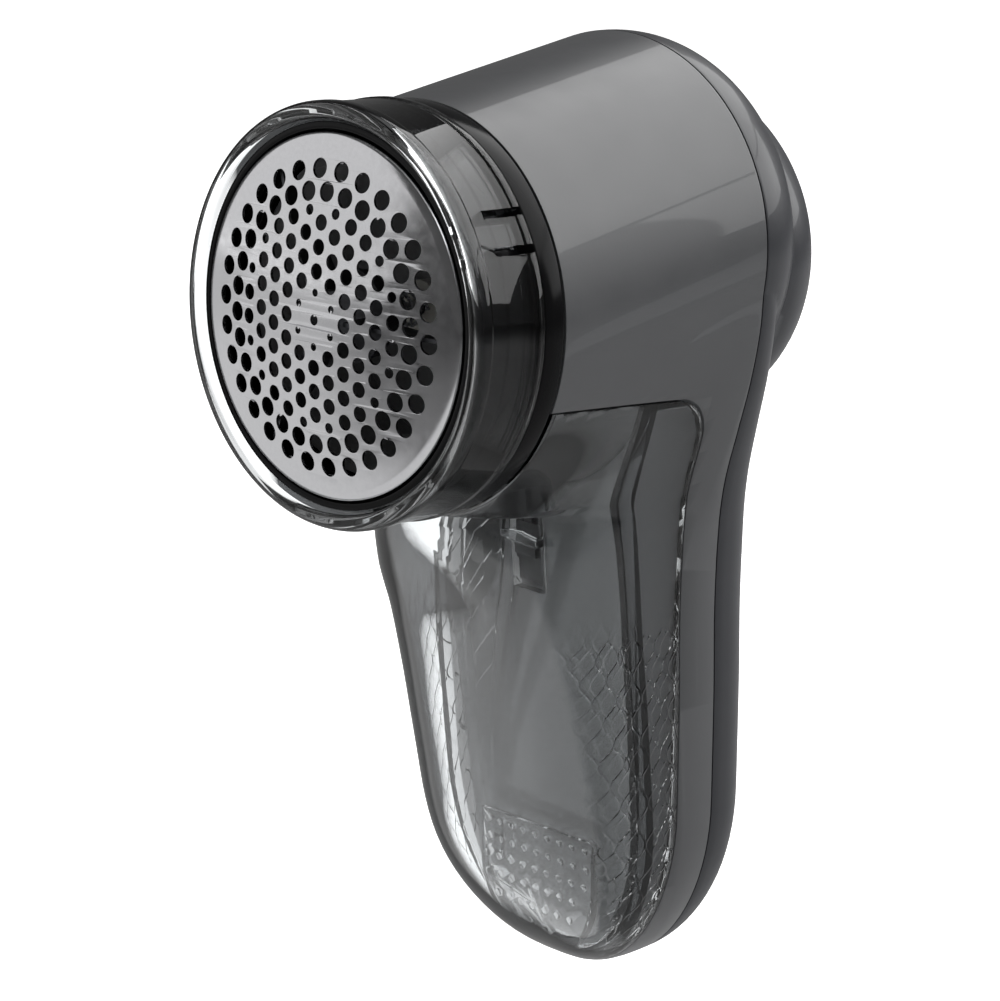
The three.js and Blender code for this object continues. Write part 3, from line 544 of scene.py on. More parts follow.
def foot_pad():
    """The block in the foot of the container that carries the dots."""
    steps = 24
    pts = [(-PAD_HALF_WIDTH, PAD_TOP)]
    for i in range(steps + 1):
        a = math.pi + math.pi * i / steps
        z = PAD_ROUND + (PAD_ROUND - PAD_BOTTOM) * math.sin(a)
        pts.append((PAD_HALF_WIDTH * math.cos(a), z))
    pts.append((PAD_HALF_WIDTH, PAD_TOP))
    return prism("pad", pts, PAD_FACE, 0)


# ------------------------------------------------------------------ materials
GRAIN_SCALE = 2200
COLOUR_SPREAD = 0.05
GLOSS_SPREAD = 0.035

# Clear plastic: its colour face on, the painted shade it takes edge on, and the facing weights that the
# change runs between.
CLEAR_RGB = (240, 242, 243)
EDGE_SHADE_RGB = (24, 25, 26)
EDGE_SHADE_ON = (0.455, 0.515)
# The painted edge shade is held back at the foot of the container, which stays clear: this much is
# taken off the facing weight there, between two levels in metres.
FOOT_SHADE_RELIEF = 0.2
FOOT_SHADE_LEVELS = (-0.07, -0.045)
SHADOW_COLOUR = (0.9, 0.9, 0.9, 1)

# The net on the container's side walls, and the band of painted shade where its rear wall meets the
# right side wall, in metres.
NET_PITCH = 0.0038
NET_LENGTH = 0.007
NET_LINE = 0.0003
NET_TOP = -0.014
NET_FADE = 0.006
SHADE_BAND_OFFSET = 0.0002
SHADE_BAND_HALF_WIDTH = 0.0015
SHADE_BAND_FADE = 0.00015


class Nodes:
    """A node tree builder: each call adds a node and sets or links its inputs."""

    def __init__(self, name):
        self.material = bpy.data.materials.new(name)
        self.material.use_nodes = True
        self.tree = self.material.node_tree
        self.tree.nodes.clear()
        self.coords = self.add("ShaderNodeTexCoord")

    def add(self, kind, inputs=None, **settings):
        node = self.tree.nodes.new(kind)
        for key, value in settings.items():
            setattr(node, key, value)
        for key, value in (inputs or {}).items():
            if isinstance(value, bpy.types.NodeSocket):
                self.tree.links.new(value, node.inputs[key])
            else:
                node.inputs[key].default_value = value
        return node

    def math(self, operation, a, b=0.0, clamp=False):
        return self.add("ShaderNodeMath", {0: a, 1: b}, operation=operation, use_clamp=clamp).outputs[0]

    def split(self, source="Object"):
        """X, Y and Z of the shaded point in metres, or of its normal."""
        return self.add("ShaderNodeSeparateXYZ", {"Vector": self.coords.outputs[source]}).outputs

    def noise(self, scale, detail, stretch=None):
        vector = self.coords.outputs["Object"]
        if stretch:
            vector = self.add("ShaderNodeMapping", {"Vector": vector, "Scale": stretch}).outputs[0]
        inputs = {"Vector": vector, "Scale": scale, "Detail": detail}
        return self.add("ShaderNodeTexNoise", inputs).outputs["Fac"]

    def ramp(self, factor, low, high, start=0.3, end=0.7):
        node = self.add("ShaderNodeValToRGB", {"Fac": factor})
        node.color_ramp.elements[0].position = start
        node.color_ramp.elements[1].position = end
        node.color_ramp.elements[0].color = (*low, 1)
        node.color_ramp.elements[1].color = (*high, 1)
        return node.outputs["Color"]

    def mix(self, factor, first, second):
        node = self.add("ShaderNodeMix", data_type="RGBA")
        for key, value in ((0, factor), (6, first), (7, second)):
            self.tree.links.new(value, node.inputs[key])
        return node.outputs[2]

    def between(self, factor, low, high, start=0.3, end=0.7):
        """Low up to the start, high from the end on, and even between them."""
        node = self.add("ShaderNodeMapRange", {"Value": factor})
        limits = {"From Min": start, "From Max": end, "To Min": low, "To Max": high}
        for key, value in limits.items():
            node.inputs[key].default_value = value
        return node.outputs[0]

    def bump(self, height, distance, normal=None):
        inputs = {"Height": height, "Distance": distance / 1000}
        if normal is not None:
            inputs["Normal"] = normal
        return self.add("ShaderNodeBump", inputs).outputs[0]

    def done(self, shader, volume=None):
        output = self.add("ShaderNodeOutputMaterial", {"Surface": shader})
        if volume:
            self.tree.links.new(volume, output.inputs["Volume"])
        return self.material


def shade(value):
    """An sRGB value from 0 to 255 as linear light."""
    v = value / 255
    return v / 12.92 if v <= 0.04045 else ((v + 0.055) / 1.055) ** 2.4


def tone(r, g, b, factor=1.0):
    return tuple(min(shade(v) * factor, 1) for v in (r, g, b))


def tones(rgb, spread):
    """A colour a little darker and a little lighter than an sRGB one."""
    return tone(*rgb, 1 - spread), tone(*rgb, 1 + spread)


def moulded(name, rgb, roughness=0.35, grain=0.012, specular=0.5, coat=0.0, painted_light_patch=None,
            painted_light_rgb=None):
    """Moulded plastic: fine grain, flow marks in colour and gloss, and a second colour on a patch,
    which the grey plastic uses as painted light.
    """
    n = Nodes(name)
    flow = n.noise(28, 3, stretch=(1, 1, 0.35))
    colour = n.ramp(flow, *tones(rgb, COLOUR_SPREAD))
    if painted_light_patch:
        colour = n.mix(painted_light_patch(n), colour, n.ramp(flow, *tones(painted_light_rgb, COLOUR_SPREAD)))
    rough = n.between(n.noise(160, 4), roughness - GLOSS_SPREAD, roughness + GLOSS_SPREAD)
    fine = n.bump(n.noise(GRAIN_SCALE, 2), grain)
    wavy = n.bump(n.noise(18, 0), 0.012, normal=fine)
    inputs = {"Base Color": colour, "Roughness": rough, "Normal": wavy}
    shader = n.add("ShaderNodeBsdfPrincipled", inputs)
    shader.inputs["Specular IOR Level"].default_value = specular
    shader.inputs["Coat Weight"].default_value = coat
    shader.inputs["Coat Roughness"].default_value = 0.03
    return n.done(shader.outputs[0])


def metal(name, rgb, roughness=0.25, brushed=(1, 1, 1), scale=900, bump=0.004, spread=0.06):
    n = Nodes(name)
    brush = n.noise(scale, 3, stretch=brushed)
    colour = n.ramp(brush, *tones(rgb, spread))
    coarse = n.noise(scale * 0.4, 2, stretch=brushed)
    rough = n.between(coarse, roughness * 0.8, roughness * 1.25)
    normal = n.bump(brush, bump)
    inputs = {"Base Color": colour, "Roughness": rough, "Normal": normal, "Metallic": 1.0}
    return n.done(n.add("ShaderNodeBsdfPrincipled", inputs).outputs[0])


def clear(name, specular, density=28.0, ior=1.49, height=None, distance=0.1, dark=None):
    """Smoky clear plastic, with painted shade on its colour where camera rays see it edge on."""
    n = Nodes(name)
    # Painted shade: for camera rays the colour darkens as the surface turns edge on.
    slope = n.add("ShaderNodeLayerWeight").outputs["Facing"]
    slope = n.math("SUBTRACT", slope, n.between(n.split()["Z"], FOOT_SHADE_RELIEF, 0.0, *FOOT_SHADE_LEVELS))
    uneven = n.math("ADD", slope, n.math("MULTIPLY", n.noise(40, 2), 0.01))
    seen = n.ramp(uneven, tone(*CLEAR_RGB), tone(*EDGE_SHADE_RGB), *EDGE_SHADE_ON)
    # Light that bounces, or comes through, meets the plain colour.
    path = n.add("ShaderNodeLightPath")
    plain = n.ramp(n.noise(40, 2), tone(*CLEAR_RGB, 0.97), tone(*CLEAR_RGB))
    tint = n.mix(path.outputs["Is Camera Ray"], plain, seen)
    # Painted shade: a dark band on the right side wall along the rear wall.
    if dark:
        tint = n.mix(dark(n), tint, n.ramp(uneven, tone(*EDGE_SHADE_RGB), tone(*EDGE_SHADE_RGB, 0.8)))
    normal = n.bump(n.noise(14, 1), 0.01)
    if height:
        normal = n.bump(height(n), distance, normal=normal)
    rough = n.between(n.noise(300, 2), 0.008, 0.02)
    inputs = {"Base Color": tint, "Roughness": rough, "Normal": normal, "Transmission Weight": 1.0}
    shader = n.add("ShaderNodeBsdfPrincipled", inputs)
    shader.inputs["IOR"].default_value = ior
    shader.inputs["Specular IOR Level"].default_value = specular
    through = n.add("ShaderNodeBsdfTransparent")
    through.inputs["Color"].default_value = SHADOW_COLOUR
    shadow = path.outputs["Is Shadow Ray"]
    mixed = n.add("ShaderNodeMixShader", {0: shadow, 1: shader.outputs[0], 2: through.outputs[0]})
    smoke = n.add("ShaderNodeVolumeAbsorption")
    smoke.inputs["Color"].default_value = (0, 0, 0, 1)
    smoke.inputs["Density"].default_value = density
    return n.done(mixed.outputs[0], smoke.outputs[0])


def painted_light_on_block(n):
    """1 on the battery block that stands in the bay behind the container, where the grey is painted
    lighter as painted light, and 0 elsewhere.
    """
    split = n.split()
    front, top = to_row([0, BAY_BACK - 0.25, BAY_TOP_FRONT - 3])[1:]
    forward = n.between(split["Y"], 1.0, 0.0, front - 0.0002, front)
    return n.math("MULTIPLY", forward, n.between(split["Z"], 1.0, 0.0, top - 0.0004, top))


def outward(n, start, end):
    """1 on the outer faces of the side walls, falling to 0 where they turn to the front."""
    away = n.math("MULTIPLY", n.split("Normal")["X"], n.math("SIGN", n.split()["X"]))
    return n.between(away, 0.0, 1.0, start, end)


def painted_join_shade(n):
    """1 on a band of the right side wall where the container's rear wall meets it, which is darkened
    there as painted shade, and 0 elsewhere.
    """
    split = n.split()
    right = n.between(split["X"], 0.0, 1.0, 0.0, 0.001)
    slope = math.tan(BLOCK_SLANT)
    _, y, z = to_row([0, BLOCK_FRONT - GAP - CLEAR_WALL, BLOCK_LEVEL])
    place = n.math("ADD", split["Y"], n.math("MULTIPLY", split["Z"], slope))
    place = n.math("ABSOLUTE", n.math("SUBTRACT", place, y + z * slope + SHADE_BAND_OFFSET))
    near = n.between(place, 1.0, 0.0, SHADE_BAND_HALF_WIDTH, SHADE_BAND_HALF_WIDTH + SHADE_BAND_FADE)
    return n.math("MULTIPLY", n.math("MULTIPLY", near, right), outward(n, 0.6, 0.75))


def ogee(n):
    """Height of a net of wavy lines, kept to the lower part of the walls that face left and right."""
    split = n.split()
    y, z = split["Y"], split["Z"]
    wave = n.math("SINE", n.math("MULTIPLY", z, 2 * math.pi / NET_LENGTH))
    wave = n.math("MULTIPLY", wave, NET_PITCH / 4)
    lines = []
    for sign, start in ((1, 0.0), (-1, NET_PITCH / 2)):
        place = n.math("ADD", n.math("MULTIPLY", wave, sign), n.math("ADD", y, start))
        off_line = n.math("PINGPONG", place, NET_PITCH / 2)
        lines.append(n.between(off_line, 1.0, 0.0, 0.0, NET_LINE))
    net = n.math("MAXIMUM", lines[0], lines[1])
    sideways = n.between(n.math("ABSOLUTE", n.split("Normal")["X"]), 0.0, 1.0, 0.6, 0.85)
    low = n.between(z, 1.0, 0.0, NET_TOP, NET_TOP + NET_FADE)
    return n.math("MULTIPLY", n.math("MULTIPLY", net, sideways), low)


# Painted light: the battery block behind the clear container gets a lighter grey.
GREY = moulded("grey_plastic", (78, 79, 81), roughness=0.36, grain=0.006, coat=0.3,
               painted_light_patch=painted_light_on_block, painted_light_rgb=(86, 87, 89))
DARK = moulded("dark_plastic", (50, 51, 55), roughness=0.38, grain=0.006, specular=0.35, coat=0.25)
BLACK = moulded("black_plastic", (14, 14, 15), roughness=0.16, grain=0.001, specular=0.07)
MATT_BLACK = moulded("black_moulding", (26, 26, 28), roughness=0.45)
BOWL_GREY = moulded("bowl_plastic", (150, 151, 153), roughness=0.5)
WHITE = moulded("white_plastic", (206, 205, 198), roughness=0.45)
CLEAR = clear("clear_plastic", specular=0.08, density=45.0, ior=1.34)
CLEAR_NET = clear("clear_plastic_patterned", height=ogee, distance=0.09, specular=0.4, dark=painted_join_shade)
FOIL = metal("polished_steel", (180, 180, 182), roughness=0.16, scale=1800, bump=0.0002, spread=0.02)
STEEL = metal("steel", (176, 178, 181), roughness=0.3, brushed=(1, 1, 6))
# Painted shade: the blades under the plate are given a darker copy of the steel.
SHADED_BLADE_STEEL = metal("blade_steel_painted_shade", (84, 85, 88), roughness=0.45, brushed=(1, 1, 6))
BRASS = metal("brass", (201, 165, 84), roughness=0.3)
COPPER = metal("copper", (176, 96, 60), roughness=0.35)
FERRITE = moulded("ferrite", (48, 48, 50), roughness=0.6, grain=0.03)
JACKET = moulded("cell_jacket", (74, 80, 88), roughness=0.25, coat=0.5)
LEAD_BLACK = moulded("lead_black", (18, 18, 18), roughness=0.4)
LEAD_RED = moulded("lead_red", (150, 28, 22), roughness=0.4)


def wear(obj, material):
    obj.data.materials.clear()
    obj.data.materials.append(material)


# ------------------------------------------------------------------ housing
def make_housing():
    """The front shell: its wall, the bay's walls, the tube behind the head and the screw bosses."""
    inside = front_body(WALL, BARREL_FRONT - 1)
    above = slab("above", -80, FAR, BAY_TOP_FRONT + WALL)
    join(above, slab("behind", BAY_BACK + BLOCK_WALL, FAR))
    hollow = common(inside, above)
    join(hollow, battery_block(BLOCK_WALL, -20, BLOCK_WALL))
    join(hollow, core("bore", TUBE_BORE, 6))
    body = front_body()
    cut(body, container_bay(0))
    cut(body, slab("parting", -GAP / 2, FAR))
    cut(body, hollow)
    for x, z, boss_front, _ in CASE_SCREWS:
        boss = common(rod("boss", 3.4, boss_front, -GAP / 2, x, z), front_body(0.5))
        join(body, boss)
        cut(body, rod("bore", SCREW_BORE, -8, 1, x, z))
    port = box("port", -9, 9, -41, -35.6, -35, -20)
    turn(port, "X", HEAD_TILT)
    cut(body, port)
    finish_mesh(body, "front_housing", "shaver", 32, bevel=0.22)
    wear(body, GREY)
    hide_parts("main_housing")


def door_space(clearance):
    wide = DOOR_HALF_WIDTH + clearance
    return box("door_space", -wide, wide, 4, 30, DOOR_BOTTOM - clearance, DOOR_TOP + clearance)


def make_rear():
    """The rear shell with its screw posts, door space and switch slot, and then the battery door."""
    body = cut(rear_body(), slab("front_half", -FAR, GAP / 2))
    inner = cut(rear_body(WALL), slab("front_half", -FAR, -0.5))
    cut(body, inner)
    for x, z, _, seat in CASE_SCREWS:
        post = common(rod("post", 3.6, GAP / 2, seat + 4, x, z), rear_body(0.3))
        join(body, post)
        cut(body, rod("bore", SCREW_BORE, -1, seat + 4, x, z))
        cut(body, rod("head_bore", 2.7, seat - GAP, 30, x, z))
    cut(body, door_space(GAP))
    cut(body, box("slot", -1.7, 1.7, 0, 30, SWITCH_Z - 5.5, SWITCH_Z + 7))
    finish_mesh(body, "rear_shell", "shaver", 32, bevel=0.2)
    wear(body, DARK)
    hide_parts("rear_cover")

    door = common(rear_body(), door_space(0))
    cut(door, rear_body(WALL - 0.2))
    for i in range(5):
        z = DOOR_TOP - 6 - 2.4 * i
        cut(door, box("groove", -6, 6, BACK_DEPTH - 0.6, BACK_DEPTH + 2, z - 0.5, z + 0.5))
    finish_mesh(door, "battery_door_panel", "battery_door", 32, bevel=0.25)
    wear(door, DARK)
    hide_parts("battery_cover")


# ------------------------------------------------------------------ lint container
def pad_dots():
    """Rows of small domes on the foot pad, all in one mesh."""
    bm = bmesh.new()
    for row in range(7):
        z = PAD_TOP - 1.7 - 3.0 * row
        below = max(PAD_ROUND - z, 0) / (PAD_ROUND - PAD_BOTTOM - 0.9)
        if below >= 1:
            continue
        reach = (PAD_HALF_WIDTH - 0.9) * math.sqrt(1 - below**2)
        for column in range(-4, 5):
            x = 2.62 * column + (0.35 if row % 2 else 0)
            if abs(x) < reach:
                place = Matrix.Translation(Vector(to_row([x, PAD_FACE, z])))
                size = Matrix.Diagonal((0.00062, 0.00055, 0.00062, 1))
                bmesh.ops.create_icosphere(bm, subdivisions=3, radius=1, matrix=place @ size)
    mesh = bpy.data.meshes.new("dots")
    bm.to_mesh(mesh)
    bm.free()
    return linked("dots", mesh)


def make_container():
    """The clear container: a wall all over, the dotted pad, ribs at its sides and the catch's bar."""
    front = BARREL_FRONT + GAP
    shell = common(front_body(0, front), container_bay(GAP))
    behind = slanted(slab("behind", BLOCK_FRONT - GAP - CLEAR_WALL, FAR, -180))
    inner = cut(front_body(CLEAR_WALL, front + CLEAR_WALL), behind)
    cut(inner, foot_pad())
    cut(shell, inner)
    cut(shell, box("notch", -3.2, 3.2, -22, -10, -46.5, 0))
    join(shell, common(pad_dots(), front_body(0.4, front + 0.4)))
    for side in (-1, 1):
        for z in RIB_LEVELS:
            near, far = side_width(z) - CLEAR_WALL - 0.4, side_width(z) - 0.6
            across = sorted((side * near, side * far))
            join(shell, box("rib", *across, -17.8, -8.9, z - 0.3, z + 0.3))
        across = sorted((side * 3.0, side * 3.9))
        join(shell, box("lug", *across, -20.9, -17.7, -38.8, -37.7))
    join(shell, box("bar", -3.9, 3.9, -20.9, -19.8, -38.9, -37.7))
    finish_mesh(shell, "lint_bin", "container", 30, bevel=0.25)
    wear(shell, CLEAR_NET)
    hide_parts("lint_container")

    # The catch behind the bar, which rides with the container: a plate, a nose, a nub and a lug.
    catch = box("plate", -2.5, 2.5, -1.4, -GAP, -4.7, 4.7)
    join(catch, box("nose", -2.3, 2.3, -2.4, -1, -0.4, 1.2))
    join(catch, box("nub", -0.8, 0.8, -1.2, -GAP - 0.1, 4.4, 5.6))
    join(catch, box("lug", -3.1, -2.2, -1.2, -GAP - 0.1, -1.6, 0.2))
    shift(catch, 0, BLOCK_FRONT, CATCH_LEVEL)
    slanted(catch)
    finish_mesh(catch, "catch_tongue", "container", 35, bevel=0.2)
    wear(catch, MATT_BLACK)
    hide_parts("container_catch")


# ------------------------------------------------------------------ head
def make_head():
    """The black collar, the clear spacer and the black ring that holds the plate."""
    collar = [
        (24.6, BOSS_FRONT), (BOSS_RADIUS, BOSS_FRONT), (BOSS_RADIUS, FLANGE_FRONT),
        (BARREL_RADIUS, FLANGE_FRONT), (BARREL_RADIUS, BARREL_FRONT - GAP),
        (26.3, BARREL_FRONT - GAP), (26.3, BARREL_FRONT + 2.2), (24.6, BARREL_FRONT + 2.2),
        (24.6, BOSS_FRONT),
    ]
    ring = lathe("collar_band", rounded(collar, 0.35), 180)
    finish_mesh(ring, "collar_band", "shaver", 40)
    wear(ring, BLACK)
    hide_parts("collar_ring")

    # The spacer: a clear sleeve with a thick rolled lip, a step behind it and a bead at its rear edge.
    # Two slots from the rear edge leave a snap tab between them.
    s0, s1 = SPACER_FRONT, SPACER_REAR
    outside = [
        (28.9, s0), (30.0, s0), (30.7, s0 + 0.35), (SPACER_RADIUS, s0 + 1.2),
        (SPACER_RADIUS, s0 + 2.6), (30.75, s0 + 3.0), (30.75, s1 - 1.6), (SPACER_RADIUS, s1 - 1.3),
        (SPACER_RADIUS, s1),
    ]
    inside = [
        (29.3, s1), (29.3, s1 - 0.9), (28.6, s1 - 1.6), (28.6, s0 + 3.4), (28.45, s0 + 2.6),
        (SPACER_BORE, s0 + 0.6), (28.9, s0),
    ]
    sleeve = lathe("spacer", rounded(outside + inside, 0.3), 200)
    for degrees in SLOT_DEGREES:
        across, along = (SPACER_BORE - 2, SPACER_RADIUS + 2), (s1 - SLOT_LENGTH, s1 + 1)
        slot = box("slot", *across, *along, -SLOT_HALF_WIDTH, SLOT_HALF_WIDTH)
        turn(slot, "Y", -math.radians(degrees))
        turn(slot, "X", HEAD_TILT)
        cut(sleeve, slot)
    finish_mesh(sleeve, "clear_spacer", "spacer", 40)
    wear(sleeve, CLEAR)
    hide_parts("height_spacer")

    ledge = PLATE_RIM + 3.3
    b = PLATE_RADIUS + GAP
    lock = [
        (b, PLATE_RIM + 0.5), (28, PLATE_RIM + 0.5), (28, PLATE_RIM + 2.2), (27.7, PLATE_RIM + 2.5),
        (27.7, -53), (28, -52.7), (28, SPACER_REAR), (26.6, SPACER_REAR), (26.6, ledge + 2.2),
        (25.2, ledge + 1.2), (25.2, ledge), (b, ledge), (b, PLATE_RIM + 0.5),
    ]
    lock_ring = lathe("lock_band", rounded(lock, 0.2), 180)
    finish_mesh(lock_ring, "lock_band", "lock_ring", 40)
    wear(lock_ring, BLACK)
    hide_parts("retaining_ring")


PLATE_SIDES = 160
PLATE_FLAT = 23.2
PLATE_THICKNESS = 0.42
TINY_HOLE, SMALL_HOLE, HOLE, LARGE_HOLE = 0.58, 0.8, 1.18, 1.45


def plate_holes():
    """Each hole's x, z and radius: hexagonal rows in the middle, two rings of larger ones outside."""
    holes = [(0, 0, SMALL_HOLE)]

    def polar(radius, degrees, size):
        a = math.radians(degrees)
        holes.append((radius * math.cos(a), radius * math.sin(a), size))

    for i in range(6):
        polar(1.13 * HOLE_PITCH, 30 + 60 * i, TINY_HOLE)
    for i in range(-4, 5):
        for j in range(-4, 5):
            ring = max(abs(i), abs(j), abs(i + j))
            if 2 <= ring <= 4:
                x, z = i * math.sqrt(3) * HOLE_PITCH / 2, (j + i / 2) * HOLE_PITCH
                holes.append((x, z, HOLE))
    for i in range(6):
        for side in (-1, 1):
            polar(4.38 * HOLE_PITCH, 60 * i + 6.7 * side, HOLE)
            polar(4.5 * HOLE_PITCH, 30 + 60 * i + 10 * side, SMALL_HOLE)
    for i in range(30):
        polar(5.26 * HOLE_PITCH, 5 + 12 * i, LARGE_HOLE)
        polar(6.17 * HOLE_PITCH, 11 + 12 * i, LARGE_HOLE)
    return holes


def plate_surface(radius):
    """Station of the plate's outer face along the axis."""
    return PLATE_RIM - PLATE_DOME * (1 - (radius / PLATE_RADIUS) ** 2)


def make_plate():
    """The perforated plate: a flat sheet with holes, domed, with a rolled rim, then given thickness."""
    curve = bpy.data.curves.new("plate", "CURVE")
    curve.dimensions = "2D"
    curve.fill_mode = "BOTH"

    def loop(x, z, r, sides):
        spline = curve.splines.new("POLY")
        spline.points.add(sides - 1)
        for k in range(sides):
            a = 2 * math.pi * k / sides
            spline.points[k].co = (x + r * math.cos(a), z + r * math.sin(a), 0, 1)
        spline.use_cyclic_u = True

    loop(0, 0, PLATE_FLAT, PLATE_SIDES)
    for x, z, r in plate_holes():
        loop(x, z, r, 20 if r > 1 else 14)
    flat = linked("plate_curve", curve)
    mesh = evaluated(flat)
    co = np.array([v.co for v in mesh.vertices])
    faces = [tuple(p.vertices) for p in mesh.polygons]
    bpy.data.objects.remove(flat)
    bpy.data.meshes.remove(mesh)
    r = np.hypot(co[:, 0], co[:, 1])
    verts = [tuple(v) for v in np.stack([co[:, 0], plate_surface(r), co[:, 1]], -1)]
    base = len(verts)
    profile = [(r, plate_surface(r)) for r in (PLATE_FLAT, 24.3, 25.2)] + [
        (25.7, PLATE_RIM - 0.22), (26.05, PLATE_RIM - 0.05), (26.35, PLATE_RIM + 0.12),
        (26.53, PLATE_RIM + 0.38), (26.6, PLATE_RIM + 0.75), (26.6, PLATE_RIM + 2.9),
    ]
    for pr, py in profile:
        for k in range(PLATE_SIDES):
            a = 2 * math.pi * k / PLATE_SIDES
            verts.append((pr * math.cos(a), py, pr * math.sin(a)))
    rim_faces = grid_faces(len(profile), PLATE_SIDES)
    faces += [tuple(base + i for i in f) for f in rim_faces]
    plate = new_object("plate", tilted(np.array(verts)), faces)
    # Thickness goes inwards from the polished outer face.
    centre = Vector(to_row(tilted([0, PLATE_RIM + 8, 0])))
    bm = bmesh.new()
    bm.from_mesh(plate.data)
    out = sum(1 if f.normal.dot(f.calc_center_median() - centre) > 0 else -1 for f in bm.faces)
    if out < 0:
        bmesh.ops.reverse_faces(bm, faces=bm.faces)
    bm.to_mesh(plate.data)
    bm.free()
    m = plate.modifiers.new("thick", "SOLIDIFY")
    m.thickness = PLATE_THICKNESS / 1000
    m.offset = -1
    m.use_even_offset = False
    made = evaluated(plate)
    plate.modifiers.clear()
    plate.data = made
    finish_mesh(plate, "shaving_foil", "shaving_plate", 38)
    wear(plate, FOIL)
    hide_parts("mesh_plate")


make_housing()
make_rear()
make_container()
make_head()
make_plate()

# The CAD nodes that are shown as they are, by material.
CAD_LOOKS = [
    (STEEL, "case_screw_1 case_screw_2 case_screw_3 cutter_spring motor_can motor_shaft"),
    (STEEL, "bowl_screw_left bowl_screw_right contact_spring_top contact_spring_bottom"),
    (SHADED_BLADE_STEEL, "blade_set"),
    (BRASS, "motor_bush_front motor_bush_rear motor_terminal_left motor_terminal_right"),
    (BRASS, "contact_plate_left contact_plate_right contact_bridge"),
    (COPPER, "rotor_core commutator"),
    (FERRITE, "magnet_left magnet_right"),
    (JACKET, "battery_left battery_right"),
    (BLACK, "switch_slider"),
    (MATT_BLACK, "cutter_hub lint_duct motor_cradle battery_tray switch_body"),
    (BOWL_GREY, "cutter_bowl"),
    (WHITE, "drive_sleeve motor_end_cap switch_lever"),
    (LEAD_BLACK, "motor_lead_left"),
    (LEAD_RED, "motor_lead_right"),
]
for look, nodes in CAD_LOOKS:
    for node in nodes.split():
        mesh = frame["nodes"][node].data
        mesh.materials.clear()
        mesh.materials.append(look)

# ------------------------------------------------------------------ stage, lights, camera
CENTRE = Vector(ORIGIN / 1000)

# Metres, but for the angles, which are degrees round the part's origin from the front, positive to the
# right. The bright strip of floor that shows in reflections starts at one angle and ends at another,
# nearer to the front for the floor farther away. Each pair is the two ends of a soft edge.
FLOOR_RADIUS = 4
FLOOR_GAP = 0.002
STRIP_START = (-84, -78)
STRIP_END_NEAR = (45, 60)
STRIP_END_FAR = (-46, -31)
STRIP_SPLIT = (0.45, 0.58)
STRIP_STRENGTH = 0.75

# The surround's strength where it is seen, and where it lights or reflects.
SURROUND_SEEN = 1.05
SURROUND_LIGHT = 0.12

# Each light: azimuth and elevation in degrees, distance, width and height in metres, brightness.
PANELS = {
    "top_light": (155, 50, 1.3, (2.2, 1.16), 3.0),
    "side_light": (154, 15, 1.3, (0.97, 0.45), 3.0),
    "key_light": (-51, 20, 1.0, (0.86, 0.9), 1.0),
}

# The camera, fitted to the photograph: lens and sensor in millimetres, its place, and two of its axes.
LENS = 113.21
SENSOR = 36
CAMERA_PLACE = (326.985, -357.659, 94.469)
CAMERA_RIGHT = (0.71097, 0.70311, 0.01233)
CAMERA_FORWARD = (-0.67683, 0.68894, -0.25935)


def stage_floor():
    """A pale floor, low enough for the container to slide off above it."""
    low = CAD_BOX[0].z - SLIDE["range_m"][1] - FLOOR_GAP
    sides = 96
    turns = [2 * math.pi * i / sides for i in range(sides)]
    rim = [(FLOOR_RADIUS * math.cos(a), FLOOR_RADIUS * math.sin(a), low) for a in turns]
    faces = [(0, 1 + i, 1 + (i + 1) % sides) for i in range(sides)]
    mesh = bpy.data.meshes.new("floor")
    mesh.from_pydata([(0, 0, low)] + rim, [], faces)
    floor = linked("floor", mesh)
    n = Nodes("floor")
    colour = n.ramp(n.noise(3, 2), (0.83, 0.83, 0.83), (0.85, 0.85, 0.85))
    seen = n.add("ShaderNodeBsdfPrincipled", {"Base Color": colour, "Roughness": 0.9})
    seen.inputs["Specular IOR Level"].default_value = 0.1
    seen.inputs["Emission Color"].default_value = (1, 1, 1, 1)
    seen.inputs["Emission Strength"].default_value = 1.0
    # In reflections, and as a light on the part, the floor is dark but for the strip.
    side = n.split()["X"]
    forward = n.math("SUBTRACT", ORIGIN[1] / 1000, n.split()["Y"])
    around = n.math("ARCTAN2", side, forward)
    squares = n.math("ADD", n.math("POWER", side, 2.0), n.math("POWER", forward, 2.0))
    away = n.between(n.math("SQRT", squares), 0.0, 1.0, *STRIP_SPLIT)

    def edge(low, high, degrees):
        return n.between(around, low, high, *map(math.radians, degrees))

    far = n.math("MULTIPLY", edge(1.0, 0.0, STRIP_END_FAR), away)
    near = n.math("MULTIPLY", edge(1.0, 0.0, STRIP_END_NEAR), n.math("SUBTRACT", 1.0, away))
    strip = n.math("MULTIPLY", edge(0.0, 1.0, STRIP_START), n.math("ADD", far, near))
    strength = n.math("MULTIPLY", strip, STRIP_STRENGTH)
    reflected = n.add("ShaderNodeBsdfPrincipled", {"Emission Strength": strength})
    reflected.inputs["Base Color"].default_value = (0.38, 0.38, 0.38, 1)
    reflected.inputs["Specular IOR Level"].default_value = 0
    reflected.inputs["Emission Color"].default_value = (1, 1, 1, 1)
    path = n.add("ShaderNodeLightPath")
    bounces = n.math("ADD", path.outputs["Glossy Depth"], path.outputs["Diffuse Depth"], clamp=True)
    mixed = n.add("ShaderNodeMixShader", {0: bounces, 1: seen.outputs[0], 2: reflected.outputs[0]})
    floor.data.materials.append(n.done(mixed.outputs[0]))


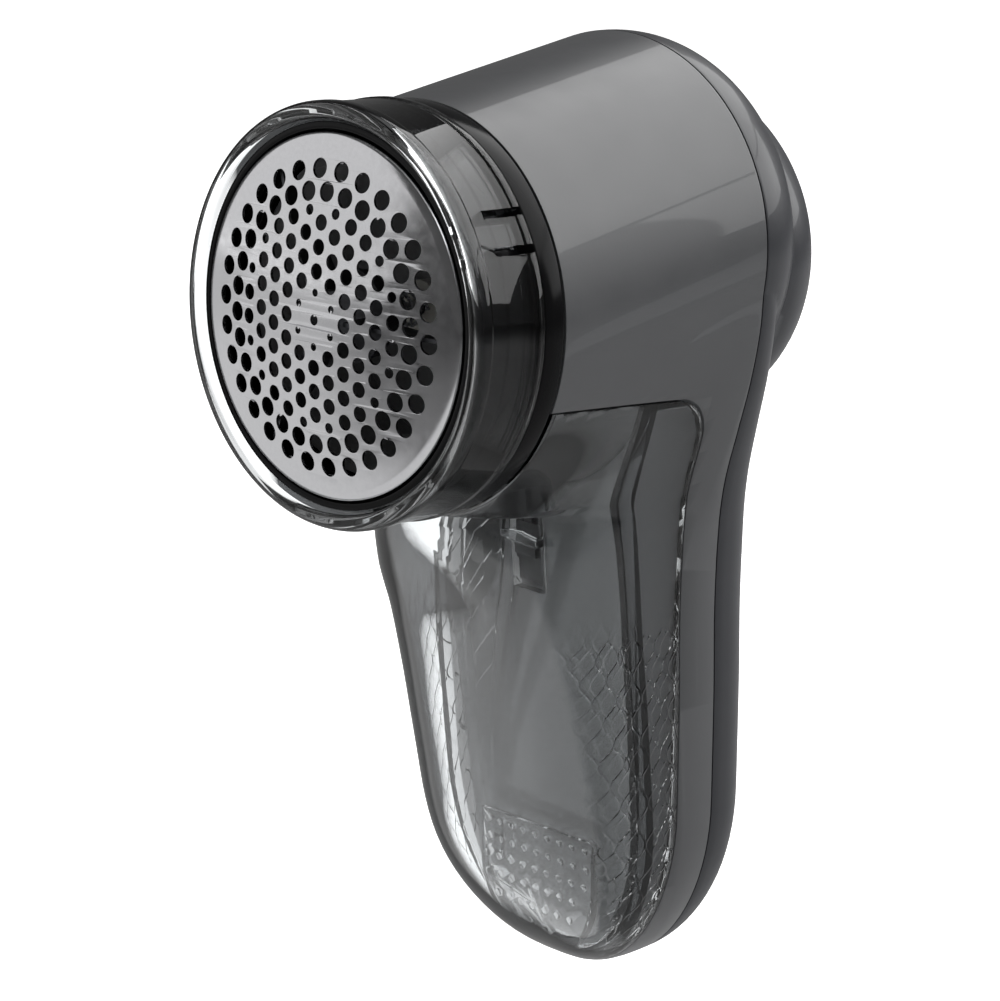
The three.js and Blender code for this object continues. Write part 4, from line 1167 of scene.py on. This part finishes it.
def panel(name, azimuth, elevation, distance, size, brightness):
    """A soft light of a given width, height and brightness that faces the part from a direction."""
    a, e = math.radians(azimuth), math.radians(elevation)
    towards = Vector((math.sin(a) * math.cos(e), -math.cos(a) * math.cos(e), math.sin(e)))
    data = bpy.data.lights.new(name, "AREA")
    data.shape = "RECTANGLE"
    data.size, data.size_y = size
    data.energy = brightness * math.pi * size[0] * size[1]
    light = linked(name, data)
    light.location = CENTRE + towards * distance
    light.rotation_mode = "QUATERNION"
    light.rotation_quaternion = towards.to_track_quat("Z", "Y")


def studio():
    """A white surround seen directly, with little light of its own on the part."""
    world = bpy.data.worlds.new("studio")
    bpy.context.scene.world = world
    world.use_nodes = True
    tree = world.node_tree
    tree.nodes.clear()
    path = tree.nodes.new("ShaderNodeLightPath")
    bounces = tree.nodes.new("ShaderNodeMath")
    tree.links.new(path.outputs["Glossy Depth"], bounces.inputs[0])
    tree.links.new(path.outputs["Diffuse Depth"], bounces.inputs[1])
    strength = tree.nodes.new("ShaderNodeMapRange")
    strength.inputs["To Min"].default_value = SURROUND_SEEN
    strength.inputs["To Max"].default_value = SURROUND_LIGHT
    tree.links.new(bounces.outputs[0], strength.inputs["Value"])
    sky = tree.nodes.new("ShaderNodeBackground")
    sky.inputs["Color"].default_value = (1, 1, 1, 1)
    tree.links.new(strength.outputs[0], sky.inputs["Strength"])
    out = tree.nodes.new("ShaderNodeOutputWorld")
    tree.links.new(sky.outputs[0], out.inputs[0])


stage_floor()
studio()
for name, settings in PANELS.items():
    panel(name, *settings)
bpy.context.scene.view_settings.view_transform = "Standard"

camera_data = bpy.data.cameras.new("camera")
camera_data.sensor_width = SENSOR
camera_data.lens = LENS
camera_data.clip_start = 0.01
camera = linked("camera", camera_data)
right = Vector(CAMERA_RIGHT).normalized()
forward = Vector(CAMERA_FORWARD).normalized()
up = right.cross(forward)
rotation = Matrix((right, up, -forward)).transposed().to_4x4()
camera.matrix_world = Matrix.Translation(Vector(to_row(CAMERA_PLACE))) @ rotation
bpy.context.scene.camera = camera
